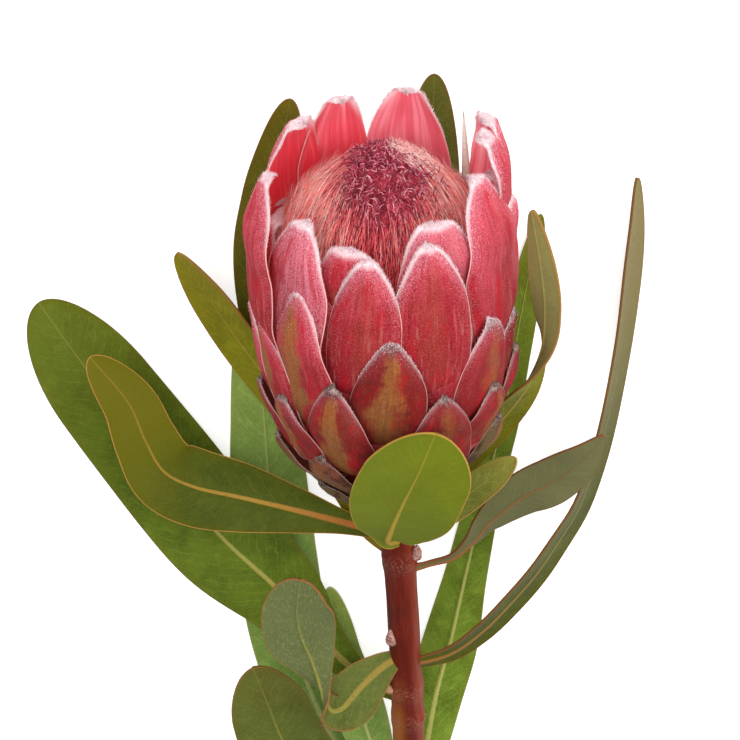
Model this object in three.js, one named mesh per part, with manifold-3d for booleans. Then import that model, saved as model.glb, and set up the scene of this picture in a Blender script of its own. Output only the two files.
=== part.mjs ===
// A cut protea lying on a table: one half-open flower head on a short stem with fifteen leathery leaves.
// Millimetres, +Z up, the table at Z = 0, the flower's tip towards +Y. The origin is on the table, under the
// middle of the whole spray.
import * as THREE from "three";
import { mergeVertices } from "three/addons/utils/BufferGeometryUtils.js";
import Module from "manifold-3d";

const wasm = await Module();
wasm.setup();

// Driving dimensions.
const GAP = 0.3; // clearance between two pieces that touch in nature
const SLIVER = 0.05;
const STEM_RADIUS = 4.2;
const HEAD_BASE_HEIGHT = 29; // the head's base above the table, on the flower's axis
const HEAD_LEAN = THREE.MathUtils.degToRad(12); // the head's axis above the level
const HEAD_SIDEWAYS = THREE.MathUtils.degToRad(-0.9); // and to the left
const MIDDLE = { x: -13.8, y: -7.05 }; // the middle of the spray, before it is moved over the origin

// Leaves are laid out as somebody sees them who looks down on the flower, along a line of sight that leans
// towards the flower's tip: [right, up, height over the table], the first two square to the sight line.
const SIGHT_LEAN = THREE.MathUtils.degToRad(23);
const VIEW_DISTANCE = 850;
const SIGHT = new THREE.Vector3(0, Math.sin(SIGHT_LEAN), Math.cos(SIGHT_LEAN));
const SIGHT_UP = new THREE.Vector3(0, Math.cos(SIGHT_LEAN), -Math.sin(SIGHT_LEAN));
const HEAD_BASE = { right: 4.5, up: -34.5 };
const AIM = new THREE.Vector3(-HEAD_BASE.right, 0, HEAD_BASE_HEIGHT).addScaledVector(SIGHT_UP, -HEAD_BASE.up);

// The point that is seen at (right, up) and lies at that height.
function seen([right, up, height]) {
  const depth =
    (height - AIM.z - up * SIGHT_UP.z) / (SIGHT.z - (up * SIGHT_UP.z) / VIEW_DISTANCE);
  const nearer = 1 - depth / VIEW_DISTANCE;
  return new THREE.Vector3(right * nearer, 0, 0)
    .addScaledVector(SIGHT_UP, up * nearer)
    .addScaledVector(SIGHT, depth)
    .add(AIM);
}

// A smooth step from 0 to 1 as x goes from 0 to 1.
function ease(x) {
  return THREE.MathUtils.smoothstep(x, 0, 1);
}

// A value at u, from values at even steps from 0 to 1, joined by a Catmull-Rom curve.
function along(values, u) {
  const last = values.length - 1;
  const at = Math.min(u, 1) * last;
  const i = Math.min(Math.floor(at), last - 1);
  const t = at - i;
  const [a, b, c, d] = [-1, 0, 1, 2].map((k) => values[THREE.MathUtils.clamp(i + k, 0, last)]);
  return b + 0.5 * t * (c - a + t * (2 * a - 5 * b + 4 * c - d + t * (3 * (b - c) + d - a)));
}

// A closed thin solid over a grid: rows x columns of { middle, normal, thickness }. Both faces are split into
// triangles alike, and a strip closes the rim.
function closedSheet(rows, columns, pointAt) {
  const vertices = [];
  const triangles = [];
  const index = (i, j, side) => 2 * (i * (columns + 1) + j) + side;
  for (let i = 0; i <= rows; i++) {
    for (let j = 0; j <= columns; j++) {
      const { middle, normal, thickness } = pointAt(i / rows, (2 * j) / columns - 1);
      for (const side of [0.5, -0.5]) {
        vertices.push(...middle.clone().addScaledVector(normal, side * thickness).toArray());
      }
    }
  }
  const quad = (a, b, c, d) => triangles.push(a, b, c, a, c, d);
  for (let i = 0; i < rows; i++) {
    for (let j = 0; j < columns; j++) {
      quad(index(i, j, 0), index(i, j + 1, 0), index(i + 1, j + 1, 0), index(i + 1, j, 0));
      triangles.push(index(i, j, 1), index(i + 1, j + 1, 1), index(i, j + 1, 1));
      triangles.push(index(i, j, 1), index(i + 1, j, 1), index(i + 1, j + 1, 1));
    }
    quad(index(i, 0, 1), index(i, 0, 0), index(i + 1, 0, 0), index(i + 1, 0, 1));
    quad(index(i, columns, 0), index(i, columns, 1), index(i + 1, columns, 1), index(i + 1, columns, 0));
  }
  for (let j = 0; j < columns; j++) {
    quad(index(0, j, 1), index(0, j + 1, 1), index(0, j + 1, 0), index(0, j, 0));
    quad(index(rows, j, 0), index(rows, j + 1, 0), index(rows, j + 1, 1), index(rows, j, 1));
  }
  const geometry = new THREE.BufferGeometry();
  geometry.setAttribute("position", new THREE.Float32BufferAttribute(vertices, 3));
  geometry.setIndex(triangles);
  return geometry;
}

// A closed geometry as a solid that can be joined and cut: its vertices are merged, and triangles that collapse
// in that, such as those round a pole, are dropped.
function solidOf(geometry) {
  const bare = new THREE.BufferGeometry();
  bare.setAttribute("position", geometry.getAttribute("position"));
  bare.setIndex(geometry.getIndex());
  const merged = mergeVertices(bare, 1e-4);
  const index = merged.getIndex().array;
  const triVerts = [];
  for (let i = 0; i < index.length; i += 3) {
    const [a, b, c] = index.slice(i, i + 3);
    if (a !== b && b !== c && c !== a) triVerts.push(a, b, c);
  }
  return new wasm.Manifold(
    new wasm.Mesh({
      numProp: 3,
      vertProperties: merged.getAttribute("position").array,
      triVerts: new Uint32Array(triVerts),
    }),
  );
}

function joined(solids) {
  return solids.reduce((all, next) => all.add(next));
}

// The outer body of a solid as a geometry: sealed hollows are filled and loose scraps dropped, and what is finer
// than SLIVER is smoothed away.
function geometryOf(solid) {
  const pieces = solid.asOriginal().simplify(SLIVER).decompose();
  const body = pieces.sort((a, b) => b.volume() - a.volume())[0];
  const { vertProperties, triVerts } = body.getMesh();
  const geometry = new THREE.BufferGeometry();
  geometry.setAttribute("position", new THREE.Float32BufferAttribute(vertProperties, 3));
  geometry.setIndex([...triVerts]);
  return geometry;
}

// A solid of revolution round +Z from [radius, height] corners that start and end on the axis.
function turned(corners, sides) {
  const outline = corners.map(([radius, height]) => new THREE.Vector2(radius, height));
  return solidOf(new THREE.LatheGeometry(outline, sides).rotateX(Math.PI / 2));
}

// Pieces of the flower head, in its own frame: +Z along the axis from the base, -Y towards the viewer.

const HEAD_OUTLINE = [4.8, 16, 24.8, 29.8, 32.2, 33.6, 34.3, 34.2, 33.3, 31.4, 28.6, 25.6]; // radius every 10 mm of height
const HEAD_OUTLINE_TOP = 110;

function headRadius(height) {
  return along(HEAD_OUTLINE, THREE.MathUtils.clamp(height / HEAD_OUTLINE_TOP, 0, 1));
}

function roundAxis(angle, radius, height) {
  return new THREE.Vector3(radius * Math.sin(angle), -radius * Math.cos(angle), height);
}

// Bracts, row by row from the innermost: each is [angle in degrees from the viewer's side, height of its tip,
// how much more than the others its tip bends in]. Up to the heights in under, a row lies one step deeper for
// each row outside it.
const BRACT_ROWS = [
  {
    root: 60,
    half: 10.6,
    under: [82, 93],
    rows: 4,
    columns: 3,
    bracts: [
      [-37, 98, 0], [-17, 95, 0], [27, 101, 0], [57, 108, 3], [78, 98, -1.5], [99, 104, -2.5], [119, 104, -1.5],
      [143, 96, 0], [166, 110, 0], [-153, 107, 1], [-129, 106, 0], [-103, 104, 0], [-73, 100, 0],
    ],
  },
  {
    root: 52,
    half: 10.4,
    under: [82],
    rows: 4,
    columns: 3,
    bracts: [
      [-9, 93, 0], [16, 97.5, 0], [37, 97, 0], [64, 91, 0], [88, 92, 0], [110, 93, 0], [133, 88, 0],
      [157, 104, 0], [-169, 93, 0], [-141, 95, 0], [-114, 94, 0], [-88, 96, 0], [-62, 102, 0],
    ],
  },
  {
    root: 40,
    half: 10.3,
    under: [58],
    rows: 4,
    columns: 2,
    bracts: [
      [-39, 83, 0], [3, 75, 0], [48, 73.5, 0], [78, 78, 0], [106, 81, 0], [134, 77, 0], [162, 80, 0],
      [-170, 78, 0], [-142, 81, 0], [-114, 77, 0], [-89, 68, 0], [-65, 71, 0],
    ],
  },
  {
    root: 24,
    half: 10.4,
    under: [36],
    rows: 4,
    columns: 2,
    bracts: [
      [-23, 60, 0], [25, 55, 0], [54, 51, 0], [82, 56, 0], [110, 60, 0], [138, 55, 0], [166, 59, 0],
      [-166, 56, 0], [-138, 60, 0], [-110, 55, 0], [-76, 46, 0], [-51, 49, 0],
    ],
  },
  {
    root: 9,
    half: 9.2,
    under: [19],
    rows: 3,
    columns: 2,
    bracts: [
      [-33, 33, 0], [0, 37, 0], [33, 34, 0], [66, 36, 0], [98, 33, 0], [130, 36, 0], [162, 33, 0],
      [-166, 36, 0], [-134, 33, 0], [-102, 36, 0], [-68, 31, 0],
    ],
  },
  {
    root: 2,
    half: 8,
    under: [],
    rows: 2,
    columns: 2,
    bracts: [
      [10, 18, 0], [52, 20, 0], [96, 18, 0], [140, 20, 0], [-176, 18, 0], [-132, 20, 0], [-86, 19, 0], [-40, 20, 0],
    ],
  },
];
// The cup that carries the bracts: solid below, with a wall round the florets.
const CUP_FLOOR = 32;
const CUP_RIM = 66.5;
const CUP_INSIDE = 27.4;
const CUP_SKIN = 3.6; // below the head's outline
const CUP_NECK = 4.6;
const CUP_BASE = 1;
const CUP_SIDES = 20;
const CUP_STEP = 9; // between the outline's corners

const BRACT_THICKNESS = 0.7;
const BRACT_STEP = 2.4; // a row lies this far inside the next one
const BRACT_DIVE = 4.2; // and its root this much deeper, in the cup
const BRACT_OVERLAP = 0.085; // one edge of a bract lies out over its neighbour, by this share of its half width

// The width of a bract at u, as a share of its full width: broadest at 0.55, with a rounded point.
function bractWidth(u) {
  const broadest = 0.55;
  if (u < broadest) return 0.66 + 0.34 * Math.sin((Math.PI / 2) * (u / broadest));
  return Math.max(1 - ((u - broadest) / (1 - broadest)) ** 2.2, 0) ** 0.7;
}

// One bract: a blade that follows the head's outline from a sunken root to a boat-shaped tip that bends in.
function bract(row, [degrees, tip, bend]) {
  const middleAngle = THREE.MathUtils.degToRad(degrees);
  const surface = (u, v) => {
    const height = row.root + (tip - row.root) * u;
    const half = Math.max(row.half * bractWidth(u), 1.8);
    const under = row.under.reduce((sum, limit) => sum + 1 - ease((height - limit) / 7), 0);
    const dive = 1 - ease(u / 0.25);
    const stand = 0.9 * ease((u - 0.4) / 0.4) - (1.6 + bend) * ease((u - 0.75) / 0.25);
    const inner = height > CUP_FLOOR - 9 ? Math.min(CUP_INSIDE + 1.5, headRadius(height) - 0.3) : 0;
    const middle = Math.max(headRadius(height) - BRACT_STEP * under - BRACT_DIVE * dive, inner) + stand;
    const boat = 0.2 * half * v * v * ease((u - 0.62) / 0.38);
    const radius = middle - boat + BRACT_OVERLAP * half * v;
    return roundAxis(middleAngle + (half * v) / middle, Math.max(radius, 1), height);
  };
  const step = 0.01;
  const pointAt = (share, v) => {
    const u = 1 - (1 - share) ** 1.6; // closer rows towards the tip
    const from = Math.min(u, 1 - step);
    const up = surface(from + step, v).sub(surface(from, v));
    const across = surface(u, v + step).sub(surface(u, v - step));
    const normal = across.cross(up).normalize();
    return { middle: surface(u, v), normal, thickness: BRACT_THICKNESS };
  };
  return solidOf(closedSheet(row.rows, row.columns, pointAt));
}

function cup() {
  const corners = [[0, CUP_BASE], [CUP_NECK, CUP_BASE]];
  for (let height = 4; height < CUP_RIM; height += CUP_STEP) {
    const least = height > CUP_FLOOR - 2 ? CUP_INSIDE + 1.2 : CUP_NECK;
    corners.push([Math.max(headRadius(height) - CUP_SKIN, least), height]);
  }
  corners.push([headRadius(CUP_RIM) - CUP_SKIN, CUP_RIM]);
  corners.push([CUP_INSIDE, CUP_RIM], [CUP_INSIDE, CUP_FLOOR], [0, CUP_FLOOR]);
  return turned(corners, CUP_SIDES);
}

function involucre() {
  const bracts = BRACT_ROWS.flatMap((row) => row.bracts.map((place) => bract(row, place)));
  return geometryOf(joined([cup(), ...bracts]));
}

// The dome of florets: [radius, height] corners of its core.
const DOME = [
  [0, CUP_FLOOR + GAP], [CUP_INSIDE - 1, CUP_FLOOR + GAP], [CUP_INSIDE - 0.7, 46], [26, 57], [24.6, 67],
  [22.6, 76.5], [19.2, 86], [14.2, 94.5], [8.6, 100.8], [3.6, 104.2], [0, 105],
];
const DOME_SIDES = 24;
const FLORETS = 180;
const FLORET_LENGTH = 11;
const FLORET_RADIUS = 1.1;
const FLORET_SINK = 1.2;
const GOLDEN_ANGLE = Math.PI * (3 - Math.sqrt(5));

// A floret tip: a three-sided needle that lies up the dome, its root in the core and its point standing out,
// shorter and steeper towards the top of the dome.
function floret(slope, share, angle) {
  const at = slope.getPointAt(share);
  const rise = slope.getTangentAt(share);
  const up = roundAxis(angle, rise.x, rise.y);
  const out = roundAxis(angle, rise.y, -rise.x);
  const lift = THREE.MathUtils.lerp(0.22, 0.85, ease((share - 0.55) / 0.45));
  const direction = up.addScaledVector(out, lift).normalize();
  const root = roundAxis(angle, at.x, at.y).addScaledVector(out, -FLORET_SINK);
  const length = FLORET_LENGTH * (1.05 - 0.55 * share);
  const needle = new THREE.ConeGeometry(FLORET_RADIUS, length, 3).translate(0, length / 2, 0);
  needle.applyQuaternion(new THREE.Quaternion().setFromUnitVectors(new THREE.Vector3(0, 1, 0), direction));
  return solidOf(needle.translate(root.x, root.y, root.z));
}

function florets() {
  const bare = DOME.findIndex(([, height]) => height > CUP_RIM - 1);
  const slope = new THREE.SplineCurve(DOME.slice(bare).map(([radius, height]) => new THREE.Vector2(radius, height)));
  const needles = [];
  for (let i = 0; i < FLORETS; i++) {
    const share = 0.97 * (1 - Math.sqrt((i + 0.5) / FLORETS));
    needles.push(floret(slope, share, i * GOLDEN_ANGLE));
  }
  return geometryOf(joined([turned(DOME, DOME_SIDES), ...needles]));
}

// The stem: its axis in the layout of the leaves, from the cut end to the head's base.
const STEM_AXIS = [
  [11, -130, 4.2], [10.6, -112, 9], [10, -94, 13.7], [9.2, -76, 18.4], [8.3, -58, 23],
  [7.3, -46, 26], [5.6, -39.5, 27.7], [4.5, -34.5, 29],
];
const STEM_NODES = [0.28, 0.44, 0.52, 0.86]; // where leaves leave the stem, as shares of its length
const STEM_STEPS = 34;
const STEM_SIDES = 12;

// A round bar along the stem's axis, thicker at the leaf nodes, with flat ends.
function stemBar(extra) {
  const axis = new THREE.CatmullRomCurve3(STEM_AXIS.map(seen));
  const vertices = [];
  const triangles = [];
  for (let i = 0; i <= STEM_STEPS; i++) {
    const share = i / STEM_STEPS;
    const centre = axis.getPointAt(share);
    const tangent = axis.getTangentAt(share);
    const side = new THREE.Vector3().crossVectors(tangent, SIGHT).normalize();
    const front = new THREE.Vector3().crossVectors(side, tangent);
    const swelling = STEM_NODES.reduce((sum, node) => sum + 0.5 * Math.exp(-(((share - node) / 0.025) ** 2)), 0);
    const radius = STEM_RADIUS + swelling + extra;
    for (let j = 0; j < STEM_SIDES; j++) {
      const angle = (2 * Math.PI * j) / STEM_SIDES;
      const point = centre
        .clone()
        .addScaledVector(side, radius * Math.cos(angle))
        .addScaledVector(front, radius * Math.sin(angle));
      vertices.push(point.x, point.y, extra ? point.z : Math.max(point.z, 0));
    }
  }
  const index = (i, j) => i * STEM_SIDES + (j % STEM_SIDES);
  for (let i = 0; i < STEM_STEPS; i++) {
    for (let j = 0; j < STEM_SIDES; j++) {
      triangles.push(index(i, j), index(i + 1, j + 1), index(i, j + 1));
      triangles.push(index(i, j), index(i + 1, j), index(i + 1, j + 1));
    }
  }
  for (let j = 1; j < STEM_SIDES - 1; j++) {
    triangles.push(index(0, 0), index(0, j), index(0, j + 1));
    triangles.push(index(STEM_STEPS, 0), index(STEM_STEPS, j + 1), index(STEM_STEPS, j));
  }
  const geometry = new THREE.BufferGeometry();
  geometry.setAttribute("position", new THREE.Float32BufferAttribute(vertices, 3));
  geometry.setIndex(triangles);
  return solidOf(geometry);
}

// Small side buds in the leaf axils, fused to the stem: [right, up, height, radius, length].
const BUDS = [
  [5.6, -69.5, 23, 1.5, 5],
  [12.2, -47.5, 28, 1.3, 4.5],
];

function bud([right, up, height, radius, length]) {
  const place = seen([right, up, height]);
  const shape = new THREE.SphereGeometry(1, 8, 6).scale(radius, length / 2, radius);
  return solidOf(shape.translate(place.x, place.y, place.z));
}

// Leaves: the midrib's path from inside the stem to the tip, half widths at even steps along it, the roll of the
// blade about its midrib in degrees (0 shows its upper face to the viewer), and the depth of its trough.
const LEAVES = {
  leaf_front_oval: {
    path: [[8, -44, 27], [5, -44.5, 36], [5.5, -41.8, 50], [8.5, -35, 63], [13, -26, 72], [17, -16.5, 76.5]],
    half: [1.6, 5, 11, 13.2, 13.4, 12.5],
    roll: [180, 180, 176, 174, 172, 170],
    trough: -0.12,
  },
  leaf_left_folded: {
    path: [
      [7.5, -43.5, 26.5], [-8, -39, 28], [-21, -35.5, 27], [-34, -32, 26], [-45.5, -28.5, 26], [-54, -23.5, 27],
      [-57.5, -16, 27], [-63, -8.5, 26], [-73.5, 4, 25],
    ],
    half: [1.6, 3, 6.3, 9.3, 10.8, 10.4, 8.6, 8],
    roll: [0, 0, 5, 5, 0, -10, -10, 0],
    trough: 0.12,
  },
  leaf_left_broad: {
    path: [
      [9.6, -85.5, 15.7], [-1.5, -80, 13], [-13, -69.5, 12], [-24, -57, 10], [-39, -43, 8], [-57, -21, 5.5],
      [-75, 1.5, 3], [-86, 16.5, 0.4],
    ],
    half: [1.8, 4.5, 10.5, 14, 14.6, 14.2, 13.5, 13],
    roll: [0, 0, 0, 0, 0, 0, 0, 0],
    trough: 0.05,
  },
  leaf_left_under: {
    path: [
      [10.8, -124, 6], [0.5, -110.5, 3], [-10, -95, 1], [-16, -82, 0.4], [-21, -67.5, 0.4], [-24, -49.5, 0.4],
      [-26.5, -26.5, 0.4], [-27.5, -12.5, 0.4], [-29.5, 5, 0.4], [-32, 21, 0.4],
    ],
    half: [1.8, 6, 10.5, 11, 10.8, 10, 8, 6],
    roll: [0, 0, 0, 0, 0, 0, 0, 0],
    trough: 0,
  },
  leaf_left_behind: {
    path: [
      [5.9, -42.5, 26.5], [2.5, -36.5, 15], [-7, -28, 8], [-18, -12, 4.5], [-26, 12, 3], [-28.3, 31, 2],
      [-26.5, 44, 1], [-23.5, 57, 0.4], [-20.7, 70.5, 0.4],
    ],
    half: [1.5, 2.6, 5, 7, 7.4, 7.2, 6.8, 6.4],
    roll: [0, 0, 0, 0, 0, 0, 0, 0],
    trough: 0.05,
  },
  leaf_left_side: {
    path: [
      [7.9, -49, 25], [-1, -41.5, 23.5], [-9, -28, 18.5], [-15, -18, 16], [-23.5, -6.5, 15], [-35, 9, 15],
      [-43, 20.5, 17], [-50, 30.5, 19],
    ],
    half: [1.4, 2.2, 3.6, 5.4, 7, 7, 5.6],
    roll: [0, 10, 20, 30, 45, 50, 50],
    trough: 0.08,
  },
  leaf_left_pale: {
    path: [[10.5, -118, 7.5], [2.5, -102.5, 5], [-3, -87, 5], [-7.5, -74, 5.5], [-10.5, -56.5, 6.5]],
    half: [1.5, 5, 7, 5.5, 4],
    roll: [0, 0, 0, 0, 0],
    trough: 0.05,
  },
  leaf_left_curled: {
    path: [
      [9, -73.5, 19.3], [1, -78.5, 23], [-6, -83.5, 27], [-13, -84.5, 32], [-18, -79.5, 38], [-19, -72, 44],
      [-18, -64.5, 49], [-16.8, -55, 54],
    ],
    half: [1.6, 5, 7, 8.5, 9.8, 10, 9.8, 9],
    roll: [-20, -20, -15, -5, 0, 5, 5, 5],
    trough: 0.08,
  },
  leaf_lower_left: {
    path: [[10.8, -121, 7], [0, -115.5, 14], [-13, -108, 20], [-22, -97.5, 25], [-26.5, -87, 29], [-30.5, -77.5, 33]],
    half: [1.6, 5, 10, 11.4, 10.8, 9],
    roll: [0, 0, 0, 0, 0, 0],
    trough: 0.08,
  },
  leaf_right_curved: {
    path: [
      [8, -52, 24.5], [15.5, -50, 26], [21.5, -48.5, 28], [26.5, -44.5, 30], [30.7, -39.8, 32], [39, -33.3, 34.5],
      [47.8, -28.9, 37.5], [54.6, -24, 40.5], [61, -17, 43],
    ],
    half: [1.5, 1.7, 2.6, 4.6, 6.4, 6.8, 5.4, 3],
    roll: [90, 100, 120, 140, 150, 155, 155, 155],
    trough: 0.1,
  },
  leaf_right_long: {
    path: [
      [9.2, -76.5, 18.3], [21, -73.5, 20], [29, -68, 22], [36.5, -60.5, 23], [43, -53, 22], [48.5, -45, 21],
      [54, -36, 18], [58, -25.5, 15], [61.5, -13, 12], [65, 5, 8], [67.5, 23.5, 5.4], [69, 37.5, 4.4], [69.5, 50, 4.2],
    ],
    half: [1.6, 4, 5.6, 6.4, 6.4, 6.2, 5.6, 4],
    roll: [-40, -50, -60, -68, -68, -66, -62, -58],
    trough: 0.1,
  },
  leaf_right_twisted: {
    path: [
      [6.8, -44.5, 26], [19.5, -28.5, 16], [34.5, -12.5, 18], [41, -4, 26], [45, 5, 37], [45.7, 15.5, 48],
      [44.7, 26, 55], [42.2, 41.5, 59],
    ],
    half: [1.4, 4, 6, 5.4, 4.4, 5.2, 5.6, 4.6],
    roll: [-10, -20, -35, -45, -90, -130, -135, -130],
    trough: 0.08,
  },
  leaf_right_small: {
    path: [[7.8, -46, 26.3], [15.5, -39.5, 31], [24, -33.5, 33], [31, -28.5, 35], [38, -23, 37]],
    half: [1.3, 3.2, 5, 4.6, 3.4],
    roll: [40, 50, 55, 55, 50],
    trough: 0.08,
  },
  leaf_right_under: {
    path: [
      [10.8, -119.5, 7], [15, -96, 3], [17.5, -83, 1], [21, -70, 0.4], [24, -57, 0.4], [27, -44, 0.4],
      [30.5, -28.5, 0.4], [34.5, -13, 0.4], [37.5, 5, 0.4], [41, 23.5, 0.4], [44.5, 40.5, 0.4],
    ],
    half: [1.6, 6, 7.8, 5.8, 4.6, 4.4, 4.4, 4],
    roll: [0, 0, 0, 0, 0, 0, 0, 0],
    trough: 0,
  },
  leaf_under_head: {
    path: [
      [5.8, -39, 27.5], [8.5, -31.5, 13], [10, -22, 4.5], [11, -13, 1], [13, 0, 0.4], [15, 18, 0.4], [16, 39, 0.4],
      [16, 60, 0.4], [16.8, 77, 0.4],
    ],
    half: [1.5, 4, 7, 8, 8, 7.6, 7, 6.4],
    roll: [0, 0, 0, 0, 0, 0, 0, 0],
    trough: 0,
  },
};
const LEAF_THICKNESS = 0.8;
const MIDRIB_THICKNESS = 1.5; // what the midrib adds at the leaf's base
const LEAF_ROWS = 11;
const LEAF_COLUMNS = 4;
const PRESSED = 0.15; // what is lower than this lies flat on the table

// A leaf: a blade swept along its midrib, rounded at the tip, and pressed flat where it meets the table.
function leaf({ path, half, roll, trough }) {
  const midrib = new THREE.CatmullRomCurve3(path.map(seen));
  const pointAt = (share, v) => {
    const u = 1 - (1 - share) ** 1.4; // closer rows towards the tip
    const tangent = midrib.getTangentAt(u);
    const level = new THREE.Vector3().crossVectors(tangent, SIGHT).normalize();
    const facing = new THREE.Vector3().crossVectors(level, tangent);
    const turn = THREE.MathUtils.degToRad(along(roll, u));
    const across = level.clone().multiplyScalar(Math.cos(turn)).addScaledVector(facing, Math.sin(turn));
    const normal = facing.clone().multiplyScalar(Math.cos(turn)).addScaledVector(level, -Math.sin(turn));
    const tip = Math.sqrt(Math.max(1 - Math.max((u - 0.8) / 0.2, 0) ** 2, 0));
    const width = Math.max(along(half, u) * tip, 0.5);
    const thickness = LEAF_THICKNESS + MIDRIB_THICKNESS * (1 - u) * (1 - Math.abs(v)) ** 2;
    const middle = midrib
      .getPointAt(u)
      .addScaledVector(across, width * v)
      .addScaledVector(normal, trough * width * v * v);
    middle.z = Math.max(middle.z, (thickness / 2) * Math.abs(normal.z));
    return { middle, normal, thickness };
  };
  const geometry = closedSheet(LEAF_ROWS, LEAF_COLUMNS, pointAt);
  const position = geometry.getAttribute("position");
  for (let i = 0; i < position.count; i++) {
    if (position.getZ(i) < PRESSED) position.setZ(i, 0);
  }
  return solidOf(geometry);
}

const MATERIALS = {
  bract: new THREE.MeshStandardMaterial({ color: 0xc4556a, roughness: 0.8, metalness: 0 }),
  floret: new THREE.MeshStandardMaterial({ color: 0x8e4155, roughness: 0.9, metalness: 0 }),
  stem: new THREE.MeshStandardMaterial({ color: 0x7a2f24, roughness: 0.5, metalness: 0 }),
  leaf: new THREE.MeshStandardMaterial({ color: 0x55702f, roughness: 0.55, metalness: 0 }),
};

function named(name, geometry, material) {
  const mesh = new THREE.Mesh(geometry, material);
  mesh.name = name;
  return mesh;
}

const spray = new THREE.Group();
spray.position.set(-MIDDLE.x, -MIDDLE.y, 0);

const head = new THREE.Group();
head.position.set(0, 0, HEAD_BASE_HEIGHT);
head.rotation.set(HEAD_LEAN - Math.PI / 2, HEAD_SIDEWAYS, 0);
head.add(named("bracts", involucre(), MATERIALS.bract));
head.add(named("florets", florets(), MATERIALS.floret));
spray.add(head);

spray.add(named("stem", geometryOf(joined([stemBar(0), ...BUDS.map(bud)])), MATERIALS.stem));

const stemClearance = stemBar(GAP + 0.05);
for (const [name, shape] of Object.entries(LEAVES)) {
  spray.add(named(name, geometryOf(leaf(shape).subtract(stemClearance)), MATERIALS.leaf));
}

export default spray;
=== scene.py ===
import math

import bpy
import numpy as np
from bpy.props import FloatProperty, FloatVectorProperty, IntProperty, PointerProperty
from mathutils import Matrix


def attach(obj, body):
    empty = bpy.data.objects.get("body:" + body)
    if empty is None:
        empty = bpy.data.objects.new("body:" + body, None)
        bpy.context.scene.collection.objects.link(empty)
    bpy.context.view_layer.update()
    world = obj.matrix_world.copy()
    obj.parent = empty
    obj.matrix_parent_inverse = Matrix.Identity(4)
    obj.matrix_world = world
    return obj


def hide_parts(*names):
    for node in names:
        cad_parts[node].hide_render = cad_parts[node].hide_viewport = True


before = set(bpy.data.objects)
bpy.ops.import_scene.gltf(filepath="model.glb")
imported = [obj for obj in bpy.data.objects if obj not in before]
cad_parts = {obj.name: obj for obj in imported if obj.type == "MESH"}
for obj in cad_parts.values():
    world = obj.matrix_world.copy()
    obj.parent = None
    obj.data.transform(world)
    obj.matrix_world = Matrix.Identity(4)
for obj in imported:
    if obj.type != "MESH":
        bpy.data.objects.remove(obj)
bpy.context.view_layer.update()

bl_info = {
    "name": "Protea flower",
    "version": (1, 0, 0),
    "blender": (4, 5, 0),
    "location": "View3D > Sidebar > Protea",
    "description": "Dresses the cut protea: velvety bracts, hairy florets, leathery leaves and a woody stem",
    "category": "Object",
}

# Sizes are in millimetres, as in the part's source. Meshes are in metres. A grid says how many steps a piece
# has lengthways, and how many across or round it.
MM = 0.001
TAU = 2 * math.pi
SEED = 29

# How the spray lies: its middle, the line of sight and the point it aims at.
SPRAY_SHIFT = np.array([13.8, 7.05, 0.0])
SIGHT_LEAN = math.radians(23)
VIEW_DISTANCE = 850.0
SIGHT = np.array([0.0, math.sin(SIGHT_LEAN), math.cos(SIGHT_LEAN)])
SIGHT_UP = np.array([0.0, math.cos(SIGHT_LEAN), -math.sin(SIGHT_LEAN)])
HEAD_BASE_HEIGHT = 29.0
HEAD_BASE = (4.5, -34.5)
AIM = np.array([-HEAD_BASE[0], 0.0, HEAD_BASE_HEIGHT]) - HEAD_BASE[1] * SIGHT_UP
PHOTO_WIDTH = 192.4  # what the picture is wide at the aim
SENSOR_WIDTH = 36.0
CLIP = (0.05, 20.0)  # nearest and furthest that the camera sees, in metres

# The stage, in metres: how far the floor reaches and lies below the spray, and the two square lights.
FLOOR_REACH = 1.5
FLOOR_DROP = 0.0002
LIGHT_SIZE = 0.7
LIGHT_AIM = (0.0, 0.03, 0.03)
KEY_PLACE = (-0.14, 0.40, 0.95)
FILL_PLACE = (0.60, 0.25, 0.65)

# How the head lies: its axis above the level, and to the left. Its outline is the radii at even steps of
# height from its base to its top.
HEAD_LEAN = math.radians(12)
HEAD_SIDEWAYS = math.radians(-0.9)
HEAD_OUTLINE = [4.8, 16, 24.8, 29.8, 32.2, 33.6, 34.3, 34.2, 33.3, 31.4, 28.6, 25.6]
HEAD_OUTLINE_TOP = 110.0

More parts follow.
